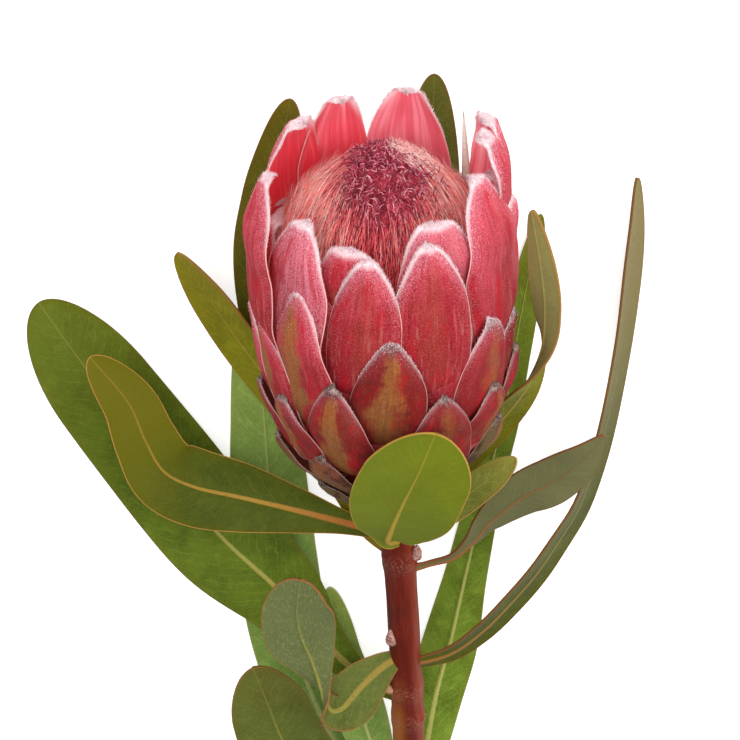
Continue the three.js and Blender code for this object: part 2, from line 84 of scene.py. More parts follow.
# Bracts, row by row from the innermost: the height of the roots, half the width, the heights up to which
# the row lies deeper, the length of the hooded tip and how far it turns over in degrees, where a bract is
# widest, the power that rounds the tip's outline and the row's age (0 fresh, 1 dry). Each bract has its
# angle in degrees from the viewer's side, the height of its tip and how worn its middle is. Some bracts
# differ from their row, by angle: they bend in more at the tip, stand out, are wider or narrower than the
# others, lean by degrees from root to tip, have a shorter hood, are older, or are frosted all over with
# pale hair.
BRACT_ROWS = [
    {
        "root": 60, "half": 10.6, "under": (82, 93), "hood": (4.6, 98), "widest": 0.52, "round": 0.68,
        "age": 0.0,
        "bracts": [
            (-56, 66, 0), (-36, 80, 0), (-18, 93, 0), (5, 76, 0), (31, 98.5, 0), (50, 82, 0), (76, 86, 0),
            (98, 108.3, 0), (114, 108.6, 0), (140, 84, 0), (163, 110.6, 0), (-152, 109.5, 0),
            (-122, 107.8, 0), (-100, 86, 0),
        ],
        "bend": {98: 0.5, 114: -0.8, 163: -0.8, -152: -0.3},
        "stand": {98: 3.6, 114: 5.0, -122: 1.2},
        "wider": {31: 1.12, 98: 1.2, 114: 1.3, 163: 1.2, -122: 1.2},
        "hooded": {163: 3, -152: 3.8, 114: 3.8},
        "frosted": {5: 0.6, 31: 0.6},
    },
    {
        "root": 46, "half": 10.4, "under": (60, 82), "hood": (3.4, 78), "widest": 0.52, "round": 0.78,
        "age": 0.06,
        "bracts": [
            (-8, 92.5, 0.1), (21, 95.5, 0.12), (39, 60, 0), (61, 105.5, 0.05), (88, 93, 0), (110, 93, 0),
            (133, 86, 0), (157, 91, 0), (-169, 88, 0.2), (-141, 87, 0), (-116, 84, 0.1), (-98, 74, 0),
            (-72, 104.5, 0), (-58, 67, 0.1), (-44, 98, 0.08),
        ],
        "bend": {88: -1, -72: -0.5},
        "stand": {21: 0.9, 61: 0.6, 88: 0.9, -98: 1, -72: 3},
        "wider": {-8: 0.93, 21: 1.02, 61: 1.26, -72: 1.3, -44: 1.2},
        "lean": {-8: 4, 21: -1, 61: -9, -44: 11, -72: 5},
        "frosted": {-44: 0.9, 61: 0.15},
    },
    {
        "root": 30, "half": 10.0, "under": (38, 58), "hood": (2.4, 60), "widest": 0.48, "round": 0.84,
        "age": 0.36,
        "bracts": [
            (-40.5, 81.5, 0.9), (2.5, 72, 0.75), (52.5, 70, 0.4), (80, 63, 0.5), (106, 68, 0.3),
            (134, 77, 0.6), (162, 80, 0.4), (-170, 78, 0.7), (-142, 80, 0.3), (-114, 67, 0.6),
            (-89, 64, 0.5), (-63, 68, 0.85),
        ],
        "lean": {2.5: 4},
        "older": {2.5: 0.28, 52.5: 0.12, 80: 0.3},
    },
    {
        "root": 20, "half": 10.0, "under": (22, 36), "hood": (1.8, 50), "widest": 0.40, "round": 0.9,
        "age": 0.68,
        "bracts": [
            (-23.5, 58, 1), (27, 53.5, 0.35), (57, 49.5, 0.5), (83, 52, 0.6), (110, 56, 0.4),
            (138, 55, 0.7), (166, 59, 0.5), (-166, 56, 0.8), (-138, 60, 0.4), (-108, 53, 0.6),
            (-77, 45, 0.5), (-52, 48.2, 1),
        ],
    },
    {
        "root": 8, "half": 9.2, "under": (19,), "hood": (1.3, 40), "widest": 0.45, "round": 0.88,
        "age": 0.9,
        "bracts": [
            (-33, 33, 0.3), (0, 37, 0.4), (33, 34, 0.3), (66, 36, 0.4), (98, 33, 0.2), (130, 36, 0.5),
            (162, 33, 0.3), (-166, 36, 0.4), (-134, 33, 0.3), (-102, 36, 0.2), (-68, 31, 0.4),
        ],
    },
    {
        "root": 2, "half": 8, "under": (), "hood": (1.0, 35), "widest": 0.5, "round": 0.88, "age": 1.0,
        "bracts": [
            (10, 18, 0.1), (52, 20, 0.1), (96, 18, 0.1), (140, 20, 0.1), (-176, 18, 0.1), (-132, 20, 0.1),
            (-86, 19, 0.1), (-40, 20, 0.1),
        ],
    },
]
# How much deeper a covered row lies, how deep a bract dives at its root, and how far one side of it lies over
# the next bract, for each millimetre across.
BRACT_STEP = 2.1
BRACT_DIVE = 4.2
BRACT_OVERLAP = 0.085
BRACT_GRID = (42, 20)

# Hairs on the bracts: how many there are on each row, as a share of the settings, their width, and the age
# from which a row's hairs are brown.
HAIR_SHARES = (1.5, 1.5, 0.8, 0.5, 0.5, 0.5)
BRACT_HAIR_WIDTH = 0.11
BROWN_AGE = 0.5

# A narrow pale bract between two others at the back: [angle, radius, height] of its foot and its point.
SPIKE = [(134.0, 29.6, 76.0), (136.2, 29.2, 105.5)]
SPIKE_WIDTH = 3.0
SPIKE_GRID = (20, 10)

# The receptacle: the floor, rim and inner radius of its cup, how far its skin lies inside the bracts, the
# radius of its neck and the height of its base.
CUP_FLOOR = 32.0
CUP_RIM = 66.5
CUP_INSIDE = 27.4
CUP_SKIN = 3.6
CUP_NECK = 4.6
CUP_BASE = 1.0
CUP_GRID = (40, 72)

# The dome that the florets make: radius and height from the cup's rim to the top.
DOME = [(25.4, 62), (24.6, 67), (22.6, 76.5), (19.2, 86), (14.2, 94.5), (8.6, 100.8), (3.6, 104.2), (0, 105)]
CORE_GRID = (60, 200)
FILAMENT_KNOTS = 8
CURL_KNOTS = 7

# Short hairs on the dome: from and up to which share of its slope, the two powers of how they crowd there,
# their width, their reach up the slope, their bearing in degrees (middle, spread) and how far they stand off.
FLORET_HAIRS = {
    "dark": (0.12, 0.80, (2.6, 1.3), (0.14, 0.26), 0.075, (0, 48), 0.35),
    "pale": (0.02, 0.62, (1.8, 1.5), (0.11, 0.28), 0.30, (86, 32), 2.2),
}
# The down behind the top: its bearing in degrees and its share of the slope (middle, spread), and its width.
DOWN_BEARING = (128, 26)
DOWN_SHARE = (0.83, 0.05)
DOWN_WIDTH = 0.13

# The stem's axis, as [right, up, height] in the view, from the cut end to the head.
STEM_AXIS = [
    (11, -130, 4.2), (10.6, -112, 9), (10, -94, 13.7), (9.2, -76, 18.4), (8.3, -58, 23), (7.3, -46, 26),
    (5.6, -39.5, 27.7), (4.5, -34.5, 29),
]
STEM_GRID = (200, 56)
# Leaf nodes: where each is along the stem, and the side of its scar as an angle.
STEM_NODES = {0.28: 2.8, 0.44: 0.4, 0.52: 3.3, 0.86: 0.6}
# Radii of the rings of the bevelled cut end, from its middle outwards, as shares of the stem's.
CUT_BEVEL = (0.0, 0.0, 0.35, 0.7, 0.82, 0.92, 1.0)
# Side buds: the place in the view, the radius and the length of each.
BUDS = [((5.6, -69.5, 23), 1.5, 5), ((12.2, -47.5, 28), 1.3, 4.5)]
BUD_GRID = (24, 24)
# A broken leaf stalk, from inside the stem to its end.
STUB = [(8.5, -83.5, 18.5), (1.4, -82.4, 19.5)]
STUB_RADIUS = 1.35
STUB_GRID = (16, 16)

LEAF_GRID = (80, 26)
LEAST_HALF = 0.12  # half the width of a blade or bract at its very tip
# Leaves: the midrib's path as [right, up, height] in the view, half widths at even steps along it, the roll
# of the blade in degrees, the depth of its trough and the name of its finish.
LEAVES = {
    "leaf_front_oval": {
        "path": [
            (8, -44, 27), (5, -44.5, 36), (5.5, -41.8, 50), (8.5, -35, 63), (13, -26, 71.6),
            (17, -16.5, 75.9),
        ],
        "half": (1.6, 3, 9.6, 13.2, 13.4, 12.5),
        "roll": (180, 180, 176, 174, 172, 170),
        "trough": -0.12, "finish": "bright",
    },
    "leaf_left_folded": {
        "path": [
            (7.5, -43.5, 26.5), (-8, -39.3, 28), (-21, -36, 27), (-34, -33, 26), (-46, -30.3, 26),
            (-53.5, -26.5, 27), (-58.4, -18.5, 27), (-62.6, -9, 26), (-72.8, 3.4, 25),
        ],
        "half": (1.6, 3, 6.3, 9.3, 10.2, 8.6, 7.2, 6.8),
        "roll": (0, 0, 5, 5, 0, -10, -10, 0),
        "trough": 0.12, "finish": "olive",
    },
    "leaf_left_broad": {
        "path": [
            (9.6, -85.5, 15.7), (-1.5, -80, 13), (-13, -69.5, 12), (-24, -57, 10), (-39, -43, 8),
            (-57, -21, 5.5), (-75, 2, 3), (-86.2, 17.6, 0.4),
        ],
        "half": (1.8, 4.5, 10.5, 14, 14.6, 14.2, 13.5, 13),
        "roll": (0, 0),
        "trough": 0.05, "finish": "deep",
    },
    "leaf_left_under": {
        "path": [
            (10.8, -124, 6), (0.5, -110.5, 3), (-10, -95, 1), (-16, -82, 0.4), (-21, -67.5, 0.4),
            (-24, -49.5, 0.4), (-26.5, -26.5, 0.4), (-27.5, -12.5, 0.4), (-29.5, 5, 0.4), (-32, 21, 0.4),
        ],
        "half": (1.8, 6, 10.5, 11, 10.8, 10, 8, 6),
        "roll": (0, 0),
        "trough": 0, "finish": "pale",
    },
    "leaf_left_behind": {
        "path": [
            (5.9, -42.5, 26.5), (2.5, -36.5, 15), (-7, -28, 8), (-18, -12, 4.5), (-26, 12, 3),
            (-28.3, 31, 2), (-26.5, 44, 1), (-23.5, 57, 0.4), (-20.7, 70.5, 0.4),
        ],
        "half": (1.5, 2.6, 5, 7, 7.4, 7.2, 6.8, 6.4),
        "roll": (0, 0),
        "trough": 0.05, "finish": "shaded",
    },
    "leaf_left_side": {
        "path": [
            (7.9, -49, 25), (-1, -41.5, 23.5), (-9, -28, 18.5), (-15, -18, 16), (-23.5, -6.5, 15),
            (-35, 9, 15), (-43, 20.5, 17), (-50, 30.5, 19),
        ],
        "half": (1.4, 2.2, 3.6, 5.4, 7, 7, 5.6),
        "roll": (0, 10, 20, 30, 45, 50, 50),
        "trough": 0.08, "finish": "moss",
    },
    "leaf_left_pale": {
        "path": [(10.5, -118, 7.5), (2.5, -102.5, 5), (-3, -87, 5), (-7.5, -74, 5.5), (-10.5, -56.5, 6.5)],
        "half": (1.5, 5, 7, 5.5, 4),
        "roll": (0, 0),
        "trough": 0.05, "finish": "pale",
    },
    "leaf_left_curled": {
        "path": [
            (9, -73.5, 19.3), (3.5, -77, 22), (-2, -82, 26), (-7.5, -88.2, 30), (-10.2, -88.6, 32.5),
            (-12.4, -83, 35), (-15.2, -75.5, 39), (-18, -69, 44), (-19, -62.5, 49), (-18, -54.5, 54),
        ],
        "half": (1.6, 4, 6.4, 7.2, 4.6, 2.4, 4, 6.6, 8.9, 9.6, 9.2, 8.6, 8.2),
        "roll": (0, 5, 5, 0, -30, -120, -168, -178, -180, -180, -178, -175, -175),
        "trough": 0.08, "finish": "dusty",
    },
    "leaf_lower_left": {
        "path": [
            (10.8, -121, 7), (0, -115.5, 14), (-13, -108, 20), (-22, -97.5, 25), (-26.5, -87, 29),
            (-30.5, -77.5, 33),
        ],
        "half": (1.6, 5, 10, 11.4, 10.8, 9),
        "roll": (0, 0),
        "trough": 0.08, "finish": "greyish",
    },
    "leaf_right_curved": {
        "path": [
            (8, -52, 24.5), (15.5, -50, 26), (21.5, -48.5, 28), (26.5, -44.5, 30), (30.7, -39.8, 32),
            (39, -33.3, 34.5), (47.8, -28.9, 37.5), (54.6, -24, 40.5), (61, -17, 43),
        ],
        "half": (1.5, 1.7, 2.6, 4.6, 6.4, 6.8, 5.4, 3),
        "roll": (90, 100, 120, 140, 150, 155, 155, 155),
        "trough": 0.1, "finish": "reddish",
    },
    "leaf_right_long": {
        "path": [
            (9.2, -76.5, 18.3), (21, -73.5, 20), (29, -68, 22), (36.5, -60.5, 23), (43, -53, 22),
            (48.5, -45, 21), (54, -36, 18), (58, -25.5, 15), (61.5, -13, 12), (65, 5, 8), (67.5, 23.5, 5.4),
            (69, 37.5, 4.4), (69.5, 50, 4.2),
        ],
        "half": (1.6, 4, 5.6, 6.4, 6.4, 6.2, 5.6, 4),
        "roll": (-40, -50, -60, -68, -68, -66, -62, -58),
        "trough": 0.1, "finish": "long",
    },
    "leaf_right_twisted": {
        "path": [
            (6.8, -44.5, 26), (19.5, -28.5, 16), (34.5, -12.5, 18), (41, -4, 26), (45, 5, 37),
            (45.7, 15.5, 48), (44.7, 26, 55), (42.2, 41.5, 59),
        ],
        "half": (1.4, 3.4, 4.8, 4.4, 3.8, 4.3, 4.5, 3.9),
        "roll": (-10, -20, -35, -45, -90, -130, -135, -130),
        "trough": 0.08, "finish": "moss",
    },
    "leaf_right_small": {
        "path": [(7.8, -46, 26.3), (15.5, -39.5, 31), (24, -33.5, 33), (31, -28.5, 35), (38, -23, 37)],
        "half": (1.3, 3.2, 4.6, 4.3, 3.2),
        "roll": (20, 22, 22, 22, 20),
        # Its finish is painted light: colours lighter than the leaf's own, against the shade of the head over
        # it.
        "trough": 0.08, "finish": "sunny",
    },
    "leaf_right_under": {
        "path": [
            (10.8, -119.5, 7), (15, -96, 3), (17.5, -83, 1), (21, -70, 0.4), (24, -57, 0.4), (27, -44, 0.4),
            (30.5, -28.5, 0.4), (34.5, -13, 0.4), (37.5, 5, 0.4), (41, 23.5, 0.4), (44.5, 40.5, 0.4),
        ],
        "half": (1.6, 6, 7.8, 5.8, 4.6, 4.4, 4.4, 4),
        "roll": (0, 0),
        "trough": 0, "finish": "light",
    },
    "leaf_under_head": {
        "path": [
            (5.8, -39, 27.5), (8.5, -31.5, 13), (10, -22, 4.5), (11, -13, 1), (13, 0, 0.4), (15, 18, 0.4),
            (16, 39, 0.4), (16, 60, 0.4), (16.8, 77, 0.4),
        ],
        "half": (1.5, 4, 7, 8, 8, 7.6, 7, 6.4),
        "roll": (0, 0),
        "trough": 0, "finish": "greyish",
    },
}

# Finishes of the leaves: upper face, its darker shade, underside, midrib, margin (linear RGB), how far the
# midrib and margin turn red at the base, and from where on the midrib fades.
LEAF_FINISHES = {
    "bright": (
        (0.138, 0.160, 0.002), (0.094, 0.122, 0.001), (0.130, 0.160, 0.005), (0.42, 0.27, 0.035),
        (0.40, 0.22, 0.04), 0.2, 0.3,
    ),
    "olive": (
        (0.054, 0.068, 0.001), (0.034, 0.052, 0.001), (0.160, 0.145, 0.035), (0.36, 0.20, 0.03),
        (0.36, 0.18, 0.04), 0.9, 0.3,
    ),
    "deep": (
        (0.086, 0.126, 0.006), (0.054, 0.085, 0.003), (0.11, 0.15, 0.03), (0.30, 0.27, 0.06),
        (0.13, 0.11, 0.02), 0.15, 0.35,
    ),
    "light": (
        (0.135, 0.200, 0.018), (0.080, 0.125, 0.008), (0.14, 0.19, 0.04), (0.40, 0.40, 0.11),
        (0.20, 0.22, 0.06), 0.0, 0.6,
    ),
    "shaded": (
        (0.092, 0.094, 0.005), (0.058, 0.066, 0.004), (0.120, 0.110, 0.025), (0.24, 0.19, 0.035),
        (0.20, 0.09, 0.02), 0.5, 0.5,
    ),
    "greyish": (
        (0.072, 0.091, 0.013), (0.049, 0.066, 0.009), (0.115, 0.125, 0.035), (0.20, 0.18, 0.035),
        (0.18, 0.09, 0.02), 0.4, 0.5,
    ),
    "long": (
        (0.056, 0.064, 0.004), (0.038, 0.048, 0.002), (0.090, 0.095, 0.022), (0.20, 0.15, 0.03),
        (0.16, 0.07, 0.018), 0.5, 0.4,
    ),
    "moss": (
        (0.165, 0.160, 0.005), (0.100, 0.110, 0.003), (0.240, 0.220, 0.070), (0.38, 0.24, 0.05),
        (0.28, 0.14, 0.03), 0.9, 0.3,
    ),
    # A lighter finish with painted light, for a leaf in the head's shade.
    "sunny": (
        (0.24, 0.265, 0.05), (0.18, 0.205, 0.035), (0.27, 0.29, 0.07), (0.42, 0.34, 0.08),
        (0.32, 0.20, 0.05), 0.2, 0.5,
    ),
    "pale": (
        (0.200, 0.310, 0.065), (0.150, 0.235, 0.045), (0.26, 0.32, 0.13), (0.38, 0.42, 0.15),
        (0.36, 0.38, 0.18), 0.0, 0.6,
    ),
    "dusty": (
        (0.092, 0.110, 0.020), (0.064, 0.082, 0.012), (0.108, 0.128, 0.040), (0.24, 0.22, 0.04),
        (0.26, 0.10, 0.03), 0.3, 0.4,
    ),
    "reddish": (
        (0.080, 0.084, 0.008), (0.056, 0.062, 0.006), (0.118, 0.116, 0.046), (0.25, 0.10, 0.03),
        (0.18, 0.07, 0.025), 0.6, 0.4,
    ),
}
# What the upper face turns to towards the tip, and from where to where, if that isn't just a warmer shade
# of it.
LEAF_TIPS = {
    "long": ((0.23, 0.17, 0.07), 0.35, 1.0),
    "olive": ((0.128, 0.112, 0.001), 0.45, 0.82),
}

# Further shades of the finishes (linear RGB).
BRACT_SHADES = {
    # Painted light on the upper part of each bract.
    "painted lit rose": (0.56, 0.058, 0.090),
    "pale streak": (0.52, 0.12, 0.11),
    "fine streak": (0.56, 0.075, 0.10),
    "scuff": (0.42, 0.15, 0.12),
    "bruise": (0.17, 0.005, 0.008),
    "old red": (0.165, 0.008, 0.006),
    "light dry": (0.13, 0.085, 0.040),
    "black spot": (0.030, 0.013, 0.008),
    "light tan": (0.30, 0.135, 0.048),
    "dark tan": (0.16, 0.05, 0.014),
    "orange tan": (0.36, 0.11, 0.014),
    "low tan": (0.13, 0.070, 0.018),
    "pale speck": (0.74, 0.38, 0.42),
    "dark speck": (0.16, 0.004, 0.007),
    "bloom": (0.66, 0.24, 0.30),
    "crimson": (0.40, 0.006, 0.014),
    "lilac": (0.66, 0.34, 0.42),
    "edge": (0.78, 0.52, 0.47),
    "dark ash": (0.045, 0.03, 0.026),
    "ash": (0.32, 0.25, 0.22),
}
LINING_SHADES = {
    "red": (0.72, 0.022, 0.034),
    "deep": (0.74, 0.050, 0.055),
    "pale line": (0.88, 0.38, 0.38),
    "red line": (0.60, 0.014, 0.022),
    "fold": (0.62, 0.040, 0.065),
    "rim": (0.84, 0.64, 0.67),
    "dry": (0.13, 0.035, 0.020),
}
FLORET_SHADES = {
    "side": (0.95, 0.33, 0.28),
    "shaded": (0.52, 0.045, 0.060),
    "dark tip": (0.30, 0.03, 0.045),
    "silk": (0.92, 0.60, 0.52),
}
HAIR_SHADES = {
    "bract_hair": ((0.58, 0.30, 0.34), (0.76, 0.60, 0.63), (0.84, 0.77, 0.78)),
    "bract_hair_old": ((0.07, 0.04, 0.03), (0.20, 0.13, 0.11), (0.42, 0.34, 0.31)),
    "floret_dark_hair": ((0.16, 0.014, 0.024), (0.26, 0.026, 0.042), (0.42, 0.05, 0.07)),
    "floret_pale_hair": ((0.90, 0.36, 0.32), (0.93, 0.56, 0.50), (0.94, 0.78, 0.72)),
    "floret_down": ((0.86, 0.36, 0.34), (0.90, 0.56, 0.52), (0.92, 0.78, 0.75)),
}
BARK_SHADES = {
    "light fibre": (0.155, 0.015, 0.004),
    "dark patch": (0.050, 0.008, 0.005),
    "painted highlight": (0.25, 0.038, 0.012),
    "node": (0.30, 0.14, 0.10),
    "fleck": (0.28, 0.10, 0.05),
    "wood": (0.46, 0.35, 0.18),
    "dark wood": (0.30, 0.20, 0.10),
}
SPIKE_SHADES = {
    "foot": (0.62, 0.50, 0.34),
    "pale": (0.80, 0.77, 0.68),
    "greenish": (0.46, 0.46, 0.30),
    "dark point": (0.14, 0.12, 0.10),
}
# Skins from one fine noise: two shades, the noise's scale and roughness, and the depth of its relief.
SKINS = {
    "receptacle_skin": ((0.22, 0.012, 0.014), (0.34, 0.03, 0.03), 800.0, 0.5, 0.0003),
    "bud_down": ((0.20, 0.055, 0.035), (0.48, 0.30, 0.26), 1400.0, 0.7, 0.0004),
    "stub_skin": ((0.42, 0.16, 0.06), (0.52, 0.30, 0.20), 1100.0, 0.7, 0.0004),
}
LEAF_SHADES = {
    "red rib": (0.32, 0.05, 0.018),
    "dark rib": (0.12, 0.06, 0.012),
    "red edge": (0.26, 0.06, 0.02),
    "spot": (0.04, 0.022, 0.008),
    "dust": (0.34, 0.35, 0.20),
}


class HeadSettings(bpy.types.PropertyGroup):
    bract_thickness: FloatProperty(
        name="Bract thickness", description="Of a bract at its middle", default=0.7 * MM, unit="LENGTH"
    )
    fringe_length: FloatProperty(
        name="Fringe length", description="Of the longest hairs at a tip", default=1.25 * MM, unit="LENGTH"
    )
    fringe_hairs: IntProperty(name="Fringe hairs", description="Along the edges of each bract", default=300)
    tip_hairs: IntProperty(
        name="Tip hairs", description="On the outer face of each bract's tip", default=380
    )
    rose: FloatVectorProperty(
        name="Rose", description="Outer face of a bract", default=(0.28, 0.010, 0.017), subtype="COLOR"
    )
    deep_rose: FloatVectorProperty(
        name="Deep rose", description="Darker patches", default=(0.25, 0.006, 0.009), subtype="COLOR"
    )
    frost: FloatVectorProperty(
        name="Frost", description="Hairs at tips and edges", default=(0.78, 0.64, 0.66), subtype="COLOR"
    )
    coral: FloatVectorProperty(
        name="Coral", description="Inner face of a bract", default=(0.88, 0.26, 0.33), subtype="COLOR"
    )
    tan: FloatVectorProperty(
        name="Tan", description="Worn patches on older bracts", default=(0.23, 0.078, 0.019), subtype="COLOR"
    )
    dry: FloatVectorProperty(
        name="Dry brown", description="The lowest bracts", default=(0.095, 0.074, 0.031), subtype="COLOR"
    )


class FloretSettings(bpy.types.PropertyGroup):
    filaments: IntProperty(name="Filaments", description="Long florets on the dome's sides", default=5000)
    short_hairs: IntProperty(
        name="Short hairs", description="Dark ones on the filaments, and as many pale ones", default=2400
    )
    curls: IntProperty(name="Curls", description="Curly floret tips on the top", default=3600)
    down_hairs: IntProperty(name="Down", description="Pale hairs behind the top", default=900)
    salmon: FloatVectorProperty(
        name="Salmon", description="Filaments", default=(0.74, 0.052, 0.082), subtype="COLOR"
    )
    wine: FloatVectorProperty(
        name="Wine", description="Floret tips", default=(0.58, 0.056, 0.100), subtype="COLOR"
    )
    # Lilac is the curls' light hairs, and also painted highlights on them.
    lilac: FloatVectorProperty(
        name="Lilac", description="Light hairs on the tips", default=(0.84, 0.34, 0.42), subtype="COLOR"
    )


class StemSettings(bpy.types.PropertyGroup):
    radius: FloatProperty(
        name="Stem radius", description="Between leaf nodes", default=4.2 * MM, unit="LENGTH"
    )
    bark: FloatVectorProperty(
        name="Bark", description="Red-brown bark", default=(0.090, 0.006, 0.002), subtype="COLOR"
    )
    # Orange-brown painted light on the left side of the lower stem, where the light falls.
    lit_side_bark: FloatVectorProperty(
        name="Lit side of the bark", description="Orange-brown streaks", default=(0.25, 0.075, 0.006), subtype="COLOR"
    )


class LeafSettings(bpy.types.PropertyGroup):
    blade: FloatProperty(name="Blade thickness", description="Of a leaf", default=0.62 * MM, unit="LENGTH")
    margin: FloatProperty(
        name="Margin", description="Width of the pale edge", default=0.22 * MM, unit="LENGTH"
    )
    vein_step: FloatProperty(
        name="Vein step", description="Between two side veins", default=3.4 * MM, unit="LENGTH"
    )


class StageSettings(bpy.types.PropertyGroup):
    floor: FloatVectorProperty(
        name="Floor", description="Pale floor", default=(0.9, 0.9, 0.9), subtype="COLOR"
    )
    key: FloatProperty(name="Key light", description="Large soft light", default=7.2, unit="POWER")
    fill: FloatProperty(name="Fill light", description="Opposite the key light", default=5, unit="POWER")
    sky: FloatProperty(name="Surrounding light", description="White all round", default=0.6)


# Curves and numbers


def ease(x):
    """The smooth step 3x^2 - 2x^3, with x held between 0 and 1."""
    x = np.clip(x, 0.0, 1.0)
    return x * x * (3.0 - 2.0 * x)


def crowded(steps):
    """Shares from 0 to 1 in steps that get shorter: 1 - (1 - x)^1.6."""
    return 1 - (1 - np.linspace(0, 1, steps + 1)) ** 1.6


def unit(vectors):
    """Vectors divided by their length."""
    return vectors / np.maximum(np.linalg.norm(vectors, axis=-1, keepdims=True), 1e-9)


def along(values, u):
    """A value at u, from values at even steps from 0 to 1, by the Catmull-Rom cubic through them."""
    values = np.asarray(values, float)
    last = len(values) - 1
    at = np.clip(u, 0.0, 1.0) * last
    i = np.minimum(at.astype(int), last - 1)
    t = at - i
    a, b, c, d = (values[np.clip(i + k, 0, last)] for k in (-1, 0, 1, 2))
    return b + 0.5 * t * (c - a + t * (2 * a - 5 * b + 4 * c - d + t * (3 * (b - c) + d - a)))


def seen(places):
    """Points seen at (right, up) that lie at a height: along the sight line until that height is reached."""
    right, up, height = np.asarray(places, float).T
    depth = (height - AIM[2] - up * SIGHT_UP[2]) / (SIGHT[2] - up * SIGHT_UP[2] / VIEW_DISTANCE)
    nearer = 1 - depth / VIEW_DISTANCE
    level = np.outer(right * nearer, (1.0, 0.0, 0.0)) + np.outer(up * nearer, SIGHT_UP)
    return level + np.outer(depth, SIGHT) + AIM


class Path:
    """A centripetal Catmull-Rom curve through corners, read by share of its length."""

    FINE = 1500

    def __init__(self, corners):
        corners = np.asarray(corners, float)
        ends = np.vstack([2 * corners[0] - corners[1], corners, 2 * corners[-1] - corners[-2]])
        at = np.linspace(0, len(corners) - 1, self.FINE)
        i = np.minimum(at.astype(int), len(corners) - 2)
        w = (at - i)[:, None]
        a, b, c, d = (ends[i + k] for k in range(4))
        before, between, after = (
            np.sqrt(np.linalg.norm(q - p, axis=1, keepdims=True)) for p, q in ((a, b), (b, c), (c, d))
        )
        leave = ((b - a) / before - (c - a) / (before + between) + (c - b) / between) * between
        enter = ((c - b) / between - (d - b) / (between + after) + (d - c) / after) * between
        square = -3 * b + 3 * c - 2 * leave - enter
        cube = 2 * b - 2 * c + leave + enter
        self.points = b + w * (leave + w * (square + w * cube))
        steps = np.linalg.norm(np.diff(self.points, axis=0), axis=1)
        self.length = steps.sum()
        self.share = np.concatenate([[0.0], np.cumsum(steps)]) / self.length

    def at(self, u):
        """The point at share u of the length."""
        return np.stack([np.interp(u, self.share, self.points[:, k]) for k in range(3)], -1)

    def tangent(self, u):
        """The direction at share u, from two points close to it."""
        step = 0.002
        return unit(self.at(np.minimum(u + step, 1.0)) - self.at(np.maximum(u - step, 0.0)))


def head_radius(height):
    """The head's outline: its radius at a height over the base."""
    return along(HEAD_OUTLINE, np.clip(height / HEAD_OUTLINE_TOP, 0, 1))


# The head's turn: first sideways, then about the level axis across the view by its lean less a right angle.
HEAD_TURN = np.array(
    Matrix.Rotation(HEAD_LEAN - math.pi / 2, 3, "X") @ Matrix.Rotation(HEAD_SIDEWAYS, 3, "Y")
)


def on_head(angle, radius, height):
    """Points round the head's axis, laid down with it: r sin a, -r cos a, height. Angle 0 is in front."""
    angle, radius, height = np.broadcast_arrays(angle, radius, height)
    upright = np.stack([radius * np.sin(angle), -radius * np.cos(angle), height], -1)
    return upright @ HEAD_TURN.T + np.array([0.0, 0.0, HEAD_BASE_HEIGHT]) + SPRAY_SHIFT


# The dome's outline as a curve in the plane through the axis: radius, nothing, height.
DOME_SLOPE = Path([(radius, 0.0, height) for radius, height in DOME])


def on_dome(share, angle, lift):
    """A point over the dome at a share of its slope: out along the slope's normal by lift."""
    at, rise = DOME_SLOPE.at(share), DOME_SLOPE.tangent(share)
    return on_head(angle, at[..., 0] + rise[..., 2] * lift, at[..., 2] - rise[..., 0] * lift)


# Meshes


def piece(name, points, faces, marks, material, replaced, flat=False):
    """A mesh object in its place: points in millimetres, faces of one size, marks as point attributes."""
    mesh = bpy.data.meshes.new(name)
    mesh.vertices.add(len(points))
    mesh.vertices.foreach_set("co", (points * MM).astype(np.float32).ravel())
    mesh.loops.add(faces.size)
    mesh.loops.foreach_set("vertex_index", faces.astype(np.int32).ravel())
    mesh.polygons.add(len(faces))
    mesh.polygons.foreach_set("loop_start", np.arange(0, faces.size, faces.shape[1], dtype=np.int32))
    mesh.polygons.foreach_set("use_smooth", np.full(len(faces), not flat))
    mesh.update(calc_edges=True)
    for label, values in marks.items():
        mark = mesh.attributes.new(label, "FLOAT", "POINT")
        mark.data.foreach_set("value", np.ascontiguousarray(values, np.float32).ravel())
    mesh.materials.append(material)
    shown = bpy.data.objects.new(name, mesh)
    bpy.context.scene.collection.objects.link(shown)
    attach(shown, "root")
    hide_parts(replaced)


def turns(sides):
    """Angles at even steps round a ring."""
    return np.linspace(0, TAU, sides, endpoint=False)


def around(side, front, turn):
    """Unit vectors at angles round an axis, from two across it, as a new axis before the last."""
    return np.cos(turn)[:, None] * side[..., None, :] + np.sin(turn)[:, None] * front[..., None, :]


def capped(first, rings, last):
    """Points or values of a ringed surface: its first pole, all its rings and its last pole."""
    return np.concatenate([[first], np.reshape(rings, (-1,) + np.shape(first)), [last]])


def copied(faces, count, size):
    """The faces of one thing, for a count of things with size points each."""
    return (faces[None] + np.arange(count)[:, None, None] * size).reshape(-1, faces.shape[1])


